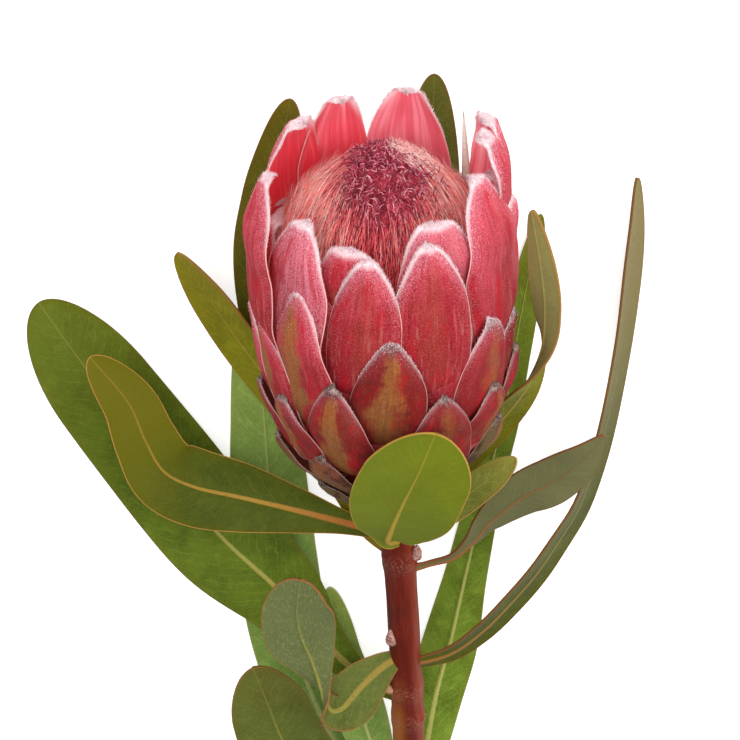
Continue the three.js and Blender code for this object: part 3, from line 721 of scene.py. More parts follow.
def closed_sheets(front, back, marks):
    """Closed thin sheets from grids (sheet, row, column, xyz): both faces, and a strip round the rim."""
    count, rows, columns = front.shape[:3]
    cells = rows * columns
    points = np.concatenate([front.reshape(count, cells, 3), back.reshape(count, cells, 3)], 1)
    index = np.arange(cells).reshape(rows, columns)
    a, b, c, d = index[:-1, :-1], index[:-1, 1:], index[1:, 1:], index[1:, :-1]
    upper = np.stack([a, b, c, d], -1).reshape(-1, 4)
    lower = np.stack([a, d, c, b], -1).reshape(-1, 4) + cells
    loop = np.concatenate([index[0, :-1], index[:-1, -1], index[-1, :0:-1], index[:0:-1, 0]])
    after = np.roll(loop, -1)
    rim = np.stack([loop, loop + cells, after + cells, after], -1)
    faces = copied(np.concatenate([upper, lower, rim]), count, 2 * cells)
    shape = (count, rows, columns)
    spread = {}
    for label, (outer, inner) in marks.items():
        both = [np.broadcast_to(values, shape).reshape(count, cells) for values in (outer, inner)]
        spread[label] = np.concatenate(both, 1)
    return points.reshape(-1, 3), faces, spread


def ring_faces(rings, sides):
    """Triangles over closed rings of points, from a pole before the first ring to one after the last."""
    index = 1 + np.arange(rings * sides).reshape(rings, sides)
    turned = np.roll(index, -1, axis=1)
    a, b, c, d = index[:-1], turned[:-1], turned[1:], index[1:]
    walls = np.concatenate([np.stack([a, b, c], -1).reshape(-1, 3), np.stack([a, c, d], -1).reshape(-1, 3)])
    root = np.stack([np.zeros(sides, int), turned[0], index[0]], -1)
    end = np.stack([index[-1], turned[-1], np.full(sides, rings * sides + 1)], -1)
    return np.concatenate([root, walls, end])


def tubes(lines, radius, sides):
    """Closed tubes round lines (tube, point, xyz): a ring at each inner point and a pole at each end."""
    count, knots = lines.shape[:2]
    tangent = unit(np.gradient(lines, axis=1))
    ahead = unit(np.roll(tangent[:, :1], 1, axis=-1) + np.array([0.31, -0.17, 0.23]))
    side = unit(np.cross(tangent, ahead))
    ring = around(side[:, 1:-1], np.cross(tangent, side)[:, 1:-1], turns(sides))
    ring = lines[:, 1:-1, None] + np.broadcast_to(radius, (count, knots))[:, 1:-1, None, None] * ring
    points = np.concatenate([lines[:, :1], ring.reshape(count, -1, 3), lines[:, -1:]], 1)
    size = points.shape[1]
    return points.reshape(-1, 3), copied(ring_faces(knots - 2, sides), count, size), size


def hair_piece(name, roots, tips, width, rng, material, replaced, tones=None):
    """A piece of closed three-sided spikes from roots to tips (hair, xyz), width across their roots. Each has
    its own tone, a random one where none are given."""
    axis = unit(tips - roots)
    side = unit(np.cross(axis, rng.normal(size=axis.shape)))
    width = np.broadcast_to(width, len(roots))[:, None, None]
    ring = around(side, np.cross(axis, side), turns(3))
    points = np.concatenate([roots[:, None] + width / 2 * ring, tips[:, None]], 1)
    faces = copied(np.array([[0, 1, 3], [1, 2, 3], [2, 0, 3], [2, 1, 0]]), len(roots), 4)
    if tones is None:
        tones = rng.uniform(0, 1, len(roots))
    marks = {"tone": np.repeat(tones, 4)}
    piece(name, points.reshape(-1, 3), faces, marks, material, replaced, flat=True)


# Materials


class Wire:
    """A socket that carries a number. Sums and products with numbers or other wires add Math nodes."""

    def __init__(self, net, socket):
        self.net = net
        self.socket = socket

    def math(self, operation, *others, clamped=False):
        """A Math node of an operation on this number and others."""
        settings = {"operation": operation, "use_clamp": clamped}
        return self.net.node("Math", settings, dict(enumerate((self, *others))))

    def __add__(self, other):
        return self.math("ADD", other)

    __radd__ = __add__

    def __sub__(self, other):
        return self.math("SUBTRACT", other)

    def __rsub__(self, other):
        return self.net.node("Math", {"operation": "SUBTRACT"}, {0: other, 1: self})

    def __mul__(self, other):
        return self.math("MULTIPLY", other)

    __rmul__ = __mul__

    def __truediv__(self, other):
        return self.math("DIVIDE", other)

    def size(self):
        """Its value without the sign."""
        return self.math("ABSOLUTE")

    def held(self):
        """Its value between 0 and 1."""
        return self.math("ADD", 0.0, clamped=True)

    def rising(self, low, high):
        """0 up to low, 1 from high on, and smooth between them."""
        settings = {"interpolation_type": "SMOOTHSTEP"}
        return self.net.node("MapRange", settings, {"Value": self, "From Min": low, "From Max": high})

    def falling(self, low, high):
        """1 up to low, 0 from high on, and smooth between them."""
        return 1 - self.rising(low, high)


class Net:
    """A material's nodes round one Principled shader. Constants are set on the shader's own sockets."""

    def __init__(self, name, **constants):
        self.material = bpy.data.materials.new(name)
        self.material.use_nodes = True
        self.tree = self.material.node_tree
        self.tree.nodes.clear()
        self.shader = self.tree.nodes.new("ShaderNodeBsdfPrincipled")
        output = self.tree.nodes.new("ShaderNodeOutputMaterial")
        self.tree.links.new(self.shader.outputs["BSDF"], output.inputs["Surface"])
        for label, value in constants.items():
            self.shader.inputs[label.replace("_", " ")].default_value = value

    def feed(self, socket, value):
        """Links a wire to a socket, or sets the socket to a value."""
        if isinstance(value, Wire):
            self.tree.links.new(value.socket, socket)
        elif socket.type == "RGBA" and len(value) == 3:
            socket.default_value = (*value, 1.0)
        else:
            socket.default_value = value

    def node(self, kind, settings=(), sockets=(), out=0):
        """A node of a kind with its settings made first, then the values or wires of its sockets."""
        node = self.tree.nodes.new("ShaderNode" + kind)
        for label, value in dict(settings).items():
            setattr(node, label, value)
        for label, value in dict(sockets).items():
            self.feed(node.inputs[label], value)
        return Wire(self, node.outputs[out])

    def mark(self, label):
        """A number that the mesh carries at its points."""
        return self.node("Attribute", {"attribute_name": label}, out="Fac")

    def place(self):
        """The point on the object, in metres."""
        return self.node("TexCoord", out="Object")

    def point(self, x, y, z):
        """A vector from three numbers."""
        return self.node("CombineXYZ", (), {0: x, 1: y, 2: z})

    def noise(self, scale, detail=2.0, vector=None, roughness=0.5):
        """Noise from 0 to 1 over a vector, or over the object where none is given."""
        vector = vector or self.place()
        sockets = {"Vector": vector, "Scale": scale, "Detail": detail, "Roughness": roughness}
        return self.node("TexNoise", {"noise_dimensions": "3D"}, sockets)

    def cells(self, scale, feature="F1"):
        """The distance to the nearest of many scattered points, or to the edge between two of their cells."""
        return self.node("TexVoronoi", {"feature": feature}, {"Vector": self.place(), "Scale": scale})

    def mix(self, share, first, second):
        """The first colour with a share of the second over it."""
        return self.node("Mix", {"data_type": "RGBA"}, {0: share, 6: first, 7: second}, out=2)

    def layered(self, colour, *layers):
        """A colour with layers over it, each a share and a colour."""
        for share, over in layers:
            colour = self.mix(share, colour, over)
        return colour

    def finish(self, colour, roughness=None, height=None, depth=0.0002):
        """Feeds the shader. Height is a relief from 0 to 1, and depth what it is high."""
        self.feed(self.shader.inputs["Base Color"], colour)
        if roughness is not None:
            self.feed(self.shader.inputs["Roughness"], roughness)
        if height is not None:
            sockets = {"Height": height, "Distance": depth, "Strength": 1.0}
            relief = self.node("Bump", (), sockets, out="Normal")
            self.feed(self.shader.inputs["Normal"], relief)
        return self.material


def bract_material(head):
    """Velvet outside, white towards the edges and the tip, tan and brown where it is old. The inside is
    smooth coral, with a painted glow: it emits a little of its own colour, in place of light through the
    bract."""
    # The emission is a painted glow on the inner face; no lamp is there.
    net = Net("bract_velvet", Specular_IOR_Level=0.12, Emission_Strength=0.14)
    up, across, tone = net.mark("up"), net.mark("across"), net.mark("tone")
    age, worn, frosted = net.mark("age"), net.mark("worn"), net.mark("frosted")
    inside, margin, hood = net.mark("inside"), net.mark("margin"), net.mark("hood")
    shade = BRACT_SHADES

    def streaks(narrow, own, short, layer, detail=3.0, roughness=0.6):
        """Noise drawn out lengthwise, and other on each bract."""
        vector = net.point(across * narrow + tone * own, up * short, layer)
        return net.noise(1.0, detail, vector, roughness)

    streak = net.noise(2.6, 4.0, net.point(across * 3.2 + tone * 40, up * 1.1, tone * 17), 0.62)
    fine_streak = streaks(15, 50, 3.2, 5.0)
    scuffs = streaks(4.5, 30, 2.6, 9.0, 4.0, 0.7)
    flush = streaks(2.6, 80, 3.2, 13.0, 4.0, 0.7)
    broad = net.noise(150.0, 2.0)
    speck = net.noise(3600.0, 1.0, roughness=0.6)
    fluff = net.noise(900.0, 4.0, roughness=0.75)
    ragged = net.noise(420.0, 4.0, roughness=0.7) - 0.5

    # Rose, with painted light that makes it lighter towards the tip; lighter too on the bracts at the head's
    # sides. Over it darker patches, greyish streaks and scuffs. Old bracts are dull red, and the oldest are
    # brown with dark spots.
    painted_light = (up + (tone - 0.5).size() * 0.7).rising(0.5, 1.15)
    dark = (broad.rising(0.36, 0.64) * 0.5 + streak.falling(0.32, 0.52) * 0.85).held()
    blotch = (ragged + broad - 0.5).rising(0.02, 0.16) * age.rising(0.5, 0.9)
    spots = (ragged - broad + 0.5).rising(0.04, 0.2) * age.rising(0.4, 0.9)
    colour = net.layered(
        head.rose,
        (painted_light, shade["painted lit rose"]),
        (dark * up.falling(0.4, 1.3), head.deep_rose),
        (streak.rising(0.54, 0.68) * 0.36, shade["pale streak"]),
        (fine_streak.rising(0.56, 0.7) * 0.22, shade["fine streak"]),
        (scuffs.rising(0.58, 0.64) * up.falling(0.3, 0.9) * 0.5, shade["scuff"]),
        (scuffs.falling(0.36, 0.41) * 0.6, shade["bruise"]),
        (age.rising(0.2, 0.66) * 0.88, shade["old red"]),
        ((age + (0.5 - up) * 0.1).rising(0.7, 0.92) * 0.95, head.dry),
        (blotch * 0.5, shade["light dry"]),
        (spots * 0.7, shade["black spot"]),
    )

    # The worn stripe along the midline, with ragged edges.
    middle = (across - (tone - 0.5) * 0.5 + (broad - 0.5) * 0.9).size() + ragged * 0.4
    middle = middle + (fine_streak - 0.5) * 0.5
    patch = middle.falling(0.10, 0.50) * (up + ragged * 0.5).rising(0.08, 0.4) * up.falling(0.84, 0.97)
    worn_colour = net.layered(
        head.tan,
        (fluff.rising(0.42, 0.66), shade["light tan"]),
        (fine_streak.falling(0.35, 0.5) * 0.6, shade["dark tan"]),
        (streak.rising(0.45, 0.6) * 0.5, shade["orange tan"]),
        (up.falling(0.2, 0.75) * 0.6, shade["low tan"]),
    )

    # Fine specks of hair, a bloom of them on frosted bracts, and crimson where the hair has come off.
    stipple = speck.rising(0.52, 0.64) * (0.10 + margin.falling(0.5, 6.0) * up.rising(0.1, 0.8) * 0.24)
    tufts = 0.12 + speck.rising(0.42, 0.58) * 0.55 + fine_streak.rising(0.42, 0.62) * 0.4
    bloom = frosted * (up + (fluff - 0.5) * 0.5).rising(0.2, 0.75) * tufts
    bare = flush.rising(0.53, 0.62) * margin.rising(0.5, 2.5) * (1 - worn * patch).held()
    bare = bare * age.falling(0.68, 0.88)
    colour = net.layered(
        colour,
        ((patch * worn * 1.5).held() * 0.9, worn_colour),
        (stipple * (1 - age * 1.3).held(), shade["pale speck"]),
        (speck.falling(0.36, 0.48) * 0.35, shade["dark speck"]),
        (bloom.held() * 0.75, shade["bloom"]),
        ((bare * (0.35 + speck * 0.8)).held() * 0.75, shade["crimson"]),
    )

    # Hair that thickens towards the tip and the edges, a pale line along the edge, and ashen tips on old
    # bracts.
    fresh = (1 - age * 1.15).held()
    lilac = margin.falling(0.5, 3.6) * up.rising(0.6, 0.95) * (0.15 + speck.rising(0.42, 0.6) * 0.7)
    white = margin.falling(0.3, 1.2) * up.rising(0.66, 0.9) + hood.rising(0.05, 0.5)
    line = margin.falling(0.12, 0.36) * up.rising(0.05, 0.3) * (1 - age * 0.75)
    tips = (up + ragged * 0.10).rising(0.90, 0.985) * age.rising(0.2, 0.6)
    ash = net.mix(fluff.rising(0.42, 0.62), shade["dark ash"], shade["ash"])
    colour = net.layered(
        colour,
        ((lilac * fresh * 0.65).held(), shade["lilac"]),
        ((white * fresh * (0.35 + fluff)).held(), head.frost),
        (line * 0.85, shade["edge"]),
        (tips * 0.9, ash),
    )

    # The inner face: coral with pale streaks, deep red patches and a downy rim.
    lines = streaks(7, 60, 1.6, 3.0)
    folds = streaks(2.4, 9, 0.8, 6.0, 2.0, 0.5)
    pink = (tone + (up - 0.5) * 0.3).rising(0.33, 0.6)
    rim = margin.falling(0.4, 2.2) * up.rising(0.78, 0.94) * (0.5 + fluff * 0.9)
    lining = net.layered(
        LINING_SHADES["red"],
        (pink, head.coral),
        (up.falling(0.35, 0.85) * 0.5, LINING_SHADES["deep"]),
        (lines.rising(0.50, 0.66) * (0.15 + pink * 0.55), LINING_SHADES["pale line"]),
        (lines.falling(0.32, 0.5) * 0.4, LINING_SHADES["red line"]),
        (folds.falling(0.38, 0.52) * 0.6, LINING_SHADES["fold"]),
        ((rim * 0.95).held(), LINING_SHADES["rim"]),
        (age.rising(0.25, 0.6) * 0.9, LINING_SHADES["dry"]),
    )
    # Painted glow: the inner face emits its lining colour, standing in for light shining through the bract.
    net.feed(net.shader.inputs["Emission Color"], net.mix(inside, (0.0, 0.0, 0.0), lining))
    relief = (fluff * 0.5 + speck * 0.35 + streak * 0.6 + fine_streak * 0.3) * (1 - inside * 0.8)
    relief = relief + lines * inside * 0.5
    return net.finish(net.mix(inside, colour, lining), 0.86 - inside * 0.40, relief)


def dyed_material(name, shades=None, roughness=0.7):
    """A hair colour that goes from the first over the second to the third shade with each hair's own tone."""
    first, second, third = shades or HAIR_SHADES[name]
    net = Net(name, Specular_IOR_Level=0.2, Roughness=roughness)
    tone = net.mark("tone")
    return net.finish(net.layered(first, (tone.rising(0.1, 0.55), second), (tone.rising(0.6, 0.95), third)))


def floret_material(florets):
    """Rose filaments, more orange at the sides, that turn to wine towards the top, and pale silky ones."""
    net = Net("floret_silk", Specular_IOR_Level=0.12)
    rise, tone, up, aside = net.mark("rise"), net.mark("tone"), net.mark("up"), net.mark("aside")
    grain = net.noise(700.0, 3.0, roughness=0.7)
    turning = rise + (tone - 0.5) * 0.2 + (grain - 0.5) * 0.16 - aside * 0.1
    dark_tip = up.rising(0.6, 1.0) * tone.falling(0.3, 0.8) * (0.55 - aside * 0.5)
    colour = net.layered(
        florets.salmon,
        ((tone * 0.5 + aside * 0.5).held(), FLORET_SHADES["side"]),
        (tone.falling(0.05, 0.3) * (0.5 - aside * 0.4), FLORET_SHADES["shaded"]),
        (turning.rising(0.52, 0.90) * 0.9, florets.wine),
        (dark_tip, FLORET_SHADES["dark tip"]),
        (tone.rising(0.88, 0.95) * rise.falling(0.5, 0.85) * 0.6, FLORET_SHADES["silk"]),
    )
    return net.finish(colour, 0.6 + grain * 0.2, grain, 0.00015)


def grained_material(name, **constants):
    """A plain skin: two shades and a relief from one fine noise."""
    first, second, scale, roughness, depth = SKINS[name]
    net = Net(name, **constants)
    grain = net.noise(scale, 4.0, roughness=roughness)
    return net.finish(net.mix(grain.rising(0.35, 0.65), first, second), None, grain, depth)


def bark_material(stem):
    """Glossy red-brown bark with fine lengthwise streaks, a painted highlight down its right side, and
    orange-brown painted light on the left towards the cut end.
    """
    net = Net("stem_bark", Specular_IOR_Level=0.12)
    up, around, cut, node = net.mark("up"), net.mark("around"), net.mark("cut"), net.mark("node")
    fibres = net.noise(1.0, 4.0, net.point(around * 26, up * 9, 1.0), 0.65)
    blotch = net.noise(120.0, 3.0)
    fine = net.noise(1500.0, 3.0, roughness=0.7)
    # Painted light: an orange-brown band down the left side of the lower stem.
    orange = (around - 0.40).size().falling(0.04, 0.17) * (up + (blotch - 0.5) * 0.3).falling(0.40, 0.62)
    wood = net.mix(fine.rising(0.3, 0.7), BARK_SHADES["wood"], BARK_SHADES["dark wood"])
    colour = net.layered(
        stem.bark,
        (fibres.rising(0.4, 0.7) * 0.6, BARK_SHADES["light fibre"]),
        (blotch.falling(0.3, 0.5) * 0.5, BARK_SHADES["dark patch"]),
        # A painted highlight: a lighter stripe down the right side of the stem.
        ((around - 0.08).size().falling(0.03, 0.14) * 0.5, BARK_SHADES["painted highlight"]),
        (orange * 0.85, stem.lit_side_bark),
        (node * fine.rising(0.45, 0.65) * 0.4, BARK_SHADES["node"]),
        (fine.rising(0.62, 0.75) * 0.25, BARK_SHADES["fleck"]),
        (cut, wood),
    )
    return net.finish(colour, 0.42 + fine * 0.18 + cut * 0.3, fibres * 0.6 + fine * 0.3, 0.0003)


def leaf_material(name, finish, leaves):
    """Leathery green with faint side veins at a slant, a pale midrib and a thin coloured edge."""
    upper, shade, under_colour, rib_colour, margin_colour, reddening, rib_reach = LEAF_FINISHES[finish]
    net = Net("leaf_" + name, Specular_IOR_Level=0.09)
    up, across, edge = net.mark("along_mm"), net.mark("across_mm"), net.mark("edge_mm")
    rib, under, share = net.mark("rib"), net.mark("under"), net.mark("up")
    wander = net.noise(110.0, 2.0) - 0.5
    mottle = net.noise(95.0, 3.0, roughness=0.6)
    patchy = net.noise(260.0, 3.0, roughness=0.6)
    grain = net.noise(1300.0, 3.0, roughness=0.7)
    step = leaves.vein_step / MM
    slant = (up - across.size() * 1.3) / step + wander * 2.2
    vein = (slant.math("FRACT") - 0.5).size().falling(0.0, 0.09) * edge.rising(0.8, 3.5)
    vein = vein * patchy.rising(0.28, 0.55)
    mesh = net.cells(900.0, "DISTANCE_TO_EDGE").falling(0.0, 0.14)

    # The upper face turns warmer towards the tip and the edge, and the underside is plainer.
    lighter = tuple(c * 1.7 + 0.01 for c in upper)
    warm = (upper[0] * 1.5 + 0.03, upper[1] * 1.05, upper[2])
    warmth = (share.rising(0.55, 1.0) * 0.5 + edge.falling(0.3, 3.0) * 0.3) * mottle
    colour = net.layered(
        upper,
        (mottle.rising(0.35, 0.68), shade),
        (patchy.rising(0.5, 0.75) * 0.3, lighter),
        (warmth, warm),
    )
    if finish in LEAF_TIPS:
        tip_colour, start, end = LEAF_TIPS[finish]
        colour = net.mix(share.rising(start, end) * 0.8, colour, tip_colour)
    colour = net.mix((vein * 0.42 + mesh * 0.2 + grain.rising(0.55, 0.8) * 0.16).held(), colour, lighter)
    below = net.layered(
        under_colour,
        (mottle.rising(0.3, 0.7) * 0.5, tuple(c * 0.72 for c in under_colour)),
        ((vein * 0.25 + mesh * 0.12 + grain * 0.08).held(), tuple(c * 1.4 + 0.02 for c in under_colour)),
    )

    # The midrib is widest and palest at the base, where it may be red, and fades into the blade.
    base = share.falling(0.02, 0.42) * reddening
    midrib = net.layered(
        rib_colour,
        (base * 0.85, LEAF_SHADES["red rib"]),
        (grain.falling(0.3, 0.45) * 0.4, LEAF_SHADES["dark rib"]),
    )
    strength = 0.95 - share.rising(rib_reach, 1.0) * 0.6
    width = leaves.margin / MM
    rim = (edge + wander * 0.2).falling(width * 0.5, width * 1.3) * (0.55 + patchy * 0.8)
    spots = net.cells(170.0).falling(0.025, 0.05) * mottle.rising(0.5, 0.62)
    colour = net.layered(
        colour,
        (under, below),
        (rib.falling(0.5, 1.15) * strength, midrib),
        (rim.held(), net.mix(base * 0.5, margin_colour, LEAF_SHADES["red edge"])),
        (spots * 0.6, LEAF_SHADES["spot"]),
    )
    if finish == "dusty":
        dust = net.noise(1.0, 3.0, net.point(across * 2.4, up * 0.55, 0.0), 0.75)
        colour = net.mix(dust.rising(0.50, 0.72) * 0.38 * (0.3 + under * 0.7), colour, LEAF_SHADES["dust"])
    rough = 0.44 + under * 0.2 + grain * 0.16 + (0.16 if finish == "dusty" else 0.0)
    relief = vein * 0.3 + mesh * 0.2 + grain * 0.25 + patchy * 0.5
    return net.finish(colour, rough, relief, 0.00016)


# Shapes


def bract_width(u, widest, power):
    """A bract's width at u, as a share of its full width: a sine up to where it is widest, then a rounded
    point, 1 - t^1.9 to a power that is smaller for a rounder tip."""
    lower = 0.9 + 0.1 * np.sin(math.pi / 2 * np.minimum(u, widest) / widest)
    above = np.maximum(1 - (np.maximum(u - widest, 0) / (1 - widest)) ** 1.9, 0) ** power
    return np.where(u < widest, lower, above)


class BractRow:
    """One row of bracts. Its arrays have a bract on their first axis."""

    def __init__(self, table, number):
        angle, tip, worn = np.array(table["bracts"], float).T
        rng = np.random.default_rng(SEED + number)
        self.count = len(angle)
        self.table = table
        self.angle = np.radians(angle)
        self.worn = worn
        self.bend = self.special("bend", 0)
        self.stand = self.special("stand", 0)
        self.wide = table["half"] * self.special("wider", 1)
        self.older = self.special("older", 0)
        self.frosted = self.special("frosted", 0)
        self.lean = np.radians(self.special("lean", 0))
        self.tone = np.clip(0.5 + 0.35 * np.sin(self.angle) + rng.uniform(-0.15, 0.15, self.count), 0, 1)
        self.phase = rng.uniform(0, TAU, (3, self.count))
        self.inward = 1.1 if number == 1 else 0.0
        self.hood = self.special("hooded", table["hood"][0])
        self.turn = math.radians(table["hood"][1])
        self.length = tip - table["root"] + 0.7 * self.hood

    def special(self, label, usual):
        """What the row's table says of single bracts, by their angle, and the usual value for the others."""
        others = self.table.get(label, {})
        return np.array([others.get(bract[0], usual) for bract in self.table["bracts"]], float)

    def shaped(self, values, like):
        """Values for each bract, with as many axes as like has."""
        return values.reshape((self.count,) + (1,) * (like.ndim - 1))

    def half(self, u):
        """Half the width at u."""
        share = bract_width(u, self.table["widest"], self.table["round"])
        return np.maximum(self.shaped(self.wide, u) * share, LEAST_HALF)

    def hooded(self, u):
        """How far u is into the hood, from 0 to 1."""
        length, hood = self.shaped(self.length, u), self.shaped(self.hood, u)
        return np.maximum(length * (u - 1) / hood + 1, 0)

    def surface(self, u, v):
        """A blade that follows the head's outline, v its half widths from the middle: it dives at the root,
        stands off a little, and its last part is a hood that turns inwards, first in an arc and then
        straight. Its edges draw in like a boat's; waves and ribs run over it."""
        length, hood, bend = (self.shaped(x, u) for x in (self.length, self.hood, self.bend))
        out, angle = self.shaped(self.stand, u), self.shaped(self.angle, u)
        phase = [self.shaped(x, u) for x in self.phase]
        into = self.hooded(u)
        turned = self.turn * np.minimum(into * 2, 1)
        arc, straight = 0.5 / self.turn, np.maximum(into - 0.5, 0)
        over = hood * (arc * (1 - np.cos(turned)) + straight * np.sin(turned))
        higher = hood * (arc * np.sin(turned) + straight * np.cos(turned))
        height = self.table["root"] + np.minimum(length * u, length - hood) + higher
        half = self.half(u)
        under = sum(1 - ease((height - limit + 2) / 12) for limit in self.table["under"])
        dive = 1 - ease(u / 0.25)
        stand = out * ease(u * 1.4) + 0.4 * ease((u - 0.4) / 0.4)
        stand = stand - (0.9 + bend) * ease((u - 0.7) / 0.3) - over
        middle = np.maximum(head_radius(height) - BRACT_STEP * under - BRACT_DIVE * dive, 1) + stand
        boat = 0.2 * half * v * v * ease((u - 0.62) / 0.38)
        free = ease((u - 0.35) / 0.4)
        keel = 0.45 * np.exp(-((v / 0.16) ** 2)) * ease((u - 0.66) / 0.3)
        ribs = (0.10 * np.sin(v * 6 + phase[0]) + 0.03 * np.sin(v * 15 + phase[2] + u)) * (1 - v * v)
        wave = free * (0.28 * v * np.sin(5 * u + phase[1]) + 0.16 * np.abs(v) * np.sin(19 * u + phase[2]))
        curl = 1.15 * v**4 * ease((u - 0.2) / 0.3) * np.minimum(half / 8, 1)
        radius = middle - self.inward - boat + BRACT_OVERLAP * half * v + keel + ribs + wave - curl
        sway = free * 0.6 * np.sin(3 * u + phase[1])
        angle = angle - self.shaped(self.lean, u) * (1 - u)
        return on_head(angle + (half * v + sway) / middle, np.maximum(radius, 1), height)

    def directions(self, u, v):
        """Unit vectors across, along and out of the blade, from small steps on the surface."""
        step = 0.01
        before = np.minimum(u, 1 - step)
        rise = unit(self.surface(before + step, v) - self.surface(before, v))
        across = unit(self.surface(u, v + step) - self.surface(u, v - step))
        return across, rise, unit(np.cross(across, rise))


def bract_marks(row, u, v):
    """What the bract material reads: the distance to the outline is that across, shortened near the tip."""
    length = row.shaped(row.length, u)
    sideways = row.half(u) * (1 - np.abs(v))
    lengthways = length * (1 - u) + 0.02
    margin = 1.3 * sideways * lengthways / (sideways + lengthways)
    age = row.table["age"] + row.older + 0.12 * (row.tone - 0.5)
    own = {"tone": row.tone, "age": age, "worn": row.worn, "frosted": row.frosted}
    own = {label: row.shaped(values, u) for label, values in own.items()}
    return {"up": u, "across": v, "margin": margin, "hood": row.hooded(u), **own}


def make_bracts(head):
    """Each row is one piece of closed sheets, thinner towards their edges and tips."""
    material = bract_material(head)
    rows, columns = BRACT_GRID
    u = crowded(rows)
    across = np.linspace(-1, 1, columns + 1)
    v = across * (1.5 - 0.5 * across * across)
    for number, table in enumerate(BRACT_ROWS, 1):
        row = BractRow(table, number)
        shape = (row.count, rows + 1, columns + 1)
        us = np.broadcast_to(u[None, :, None], shape)
        vs = np.broadcast_to(v[None, None, :], shape)
        middle = row.surface(us, vs)
        normal = unit(np.cross(np.gradient(middle, axis=2), np.gradient(middle, axis=1)))
        thick = head.bract_thickness / MM * (1 - 0.55 * vs**4) * (1 - 0.45 * ease((us - 0.8) / 0.2))
        offset = normal * thick[..., None] / 2
        marks = {label: (values, values) for label, values in bract_marks(row, us, vs).items()}
        marks["inside"] = (np.zeros(shape), np.ones(shape))
        points, faces, marks = closed_sheets(middle + offset, middle - offset, marks)
        piece(f"bracts_row_{number}", points, faces, marks, material, "bracts")


def make_bract_hairs(head):
    """A fringe of fine hairs along the bracts' edges, and a pelt of them on their tips."""
    white = dyed_material("bract_hair")
    brown = dyed_material("bract_hair_old")
    for number, table in enumerate(BRACT_ROWS, 1):
        row = BractRow(table, number)
        rng = np.random.default_rng(SEED * 10 + number)
        young = 1 - 0.45 * table["age"]
        roots, tips, tones = [], [], []
        for on_edge, count in ((True, head.fringe_hairs), (False, head.tip_hairs)):
            size = (row.count, int(count * HAIR_SHARES[number - 1]))
            side = np.where(rng.uniform(0, 1, size) < 0.5, -1.0, 1.0)
            if on_edge:
                u = 1 - 0.7 * rng.uniform(0, 1, size) ** 2.2
                v = side * rng.uniform(0.97, 1.0, size)
                sideways, outward, lift = 0.8, 0.25, 0.0
            else:
                u = 1 - 0.28 * rng.uniform(0, 1, size) ** 1.7
                v = side * (1 - rng.uniform(0, 1, size) ** (1 + 6 * (1 - ease(row.hooded(u) * 2))))
                sideways, outward, lift = 0.3, 0.5, 0.2
            across, rise, out = row.directions(u, v)
            near_tip = ease((u - 0.62) / 0.38)
            length = head.fringe_length / MM * (0.24 + 0.76 * near_tip)
            length = length * rng.uniform(0.5, 1.1, size) * young
            lean = across * (np.sign(v) * sideways)[..., None] + rise * (0.55 + 0.7 * near_tip)[..., None]
            lean = lean + out * outward
            lean = unit(lean + rng.normal(0, 0.3, lean.shape))
            start = row.surface(u, v) + out * lift
            roots.append(start.reshape(-1, 3))
            tips.append((start + lean * length[..., None]).reshape(-1, 3))
            tones.append(rng.uniform(0, 1, u.size))
        roots, tips, tones = (np.concatenate(parts) for parts in (roots, tips, tones))
        material = brown if table["age"] > BROWN_AGE else white
        name = f"bract_hairs_row_{number}"
        hair_piece(name, roots, tips, BRACT_HAIR_WIDTH, rng, material, "bracts", tones)


def make_receptacle():
    """The solid base that carries the bracts, a surface of revolution that shows only between their roots."""
    material = grained_material("receptacle_skin", Roughness=0.8)
    steps, sides = CUP_GRID
    outside = np.linspace(3, CUP_RIM, steps)
    height = np.concatenate([[CUP_BASE, CUP_BASE], outside, [CUP_RIM - 1, CUP_FLOOR, CUP_FLOOR]])
    least = np.where(height > CUP_FLOOR - 2, CUP_INSIDE + 0.9, CUP_NECK)
    radius = np.maximum(head_radius(height) - CUP_SKIN - 1.6, least)
    radius[1] = CUP_NECK
    radius[-3:-1] = CUP_INSIDE
    rings = on_head(turns(sides), radius[1:-1, None], height[1:-1, None])
    foot, floor = on_head(0.0, 0.0, height[[0, -1]])
    points = capped(foot, rings, floor)
    faces = ring_faces(len(height) - 2, sides)
    piece("receptacle", points, faces, {}, material, "bracts")


def flare(share, angle):
    """How far the silky hair stands out from the dome: from a fifth of its slope up to the dark top, least
    in front and most at the sides and the back."""
    aside = np.minimum(0.8 - 0.8 * np.cos(angle), 1)
    return 0.7 + (1.2 + 3.6 * aside) * ease(share / 0.2) * (1 - 0.9 * ease((share - 0.5) / 0.4))


def scattered(count, low, high, crowding, reach, bearing, most, rng):
    """Roots and tips of short hairs that lie up the dome, in its hair or up to a height over it, and
    scattered about a bearing (middle, spread) on both sides."""
    share = low + (high - low) * rng.beta(*crowding, count)
    angle = np.radians(rng.normal(*bearing, count)) * rng.choice([-1, 1], count)
    lift = rng.uniform(-0.45, most, count)
    ahead = np.minimum(share + reach * rng.uniform(0.4, 1, count), 0.998)
    roots = on_dome(share, angle, flare(share, angle) - 0.8)
    tips = on_dome(ahead, angle + rng.normal(0, 0.06, count), flare(ahead, angle) + lift + 0.2)
    return roots, tips


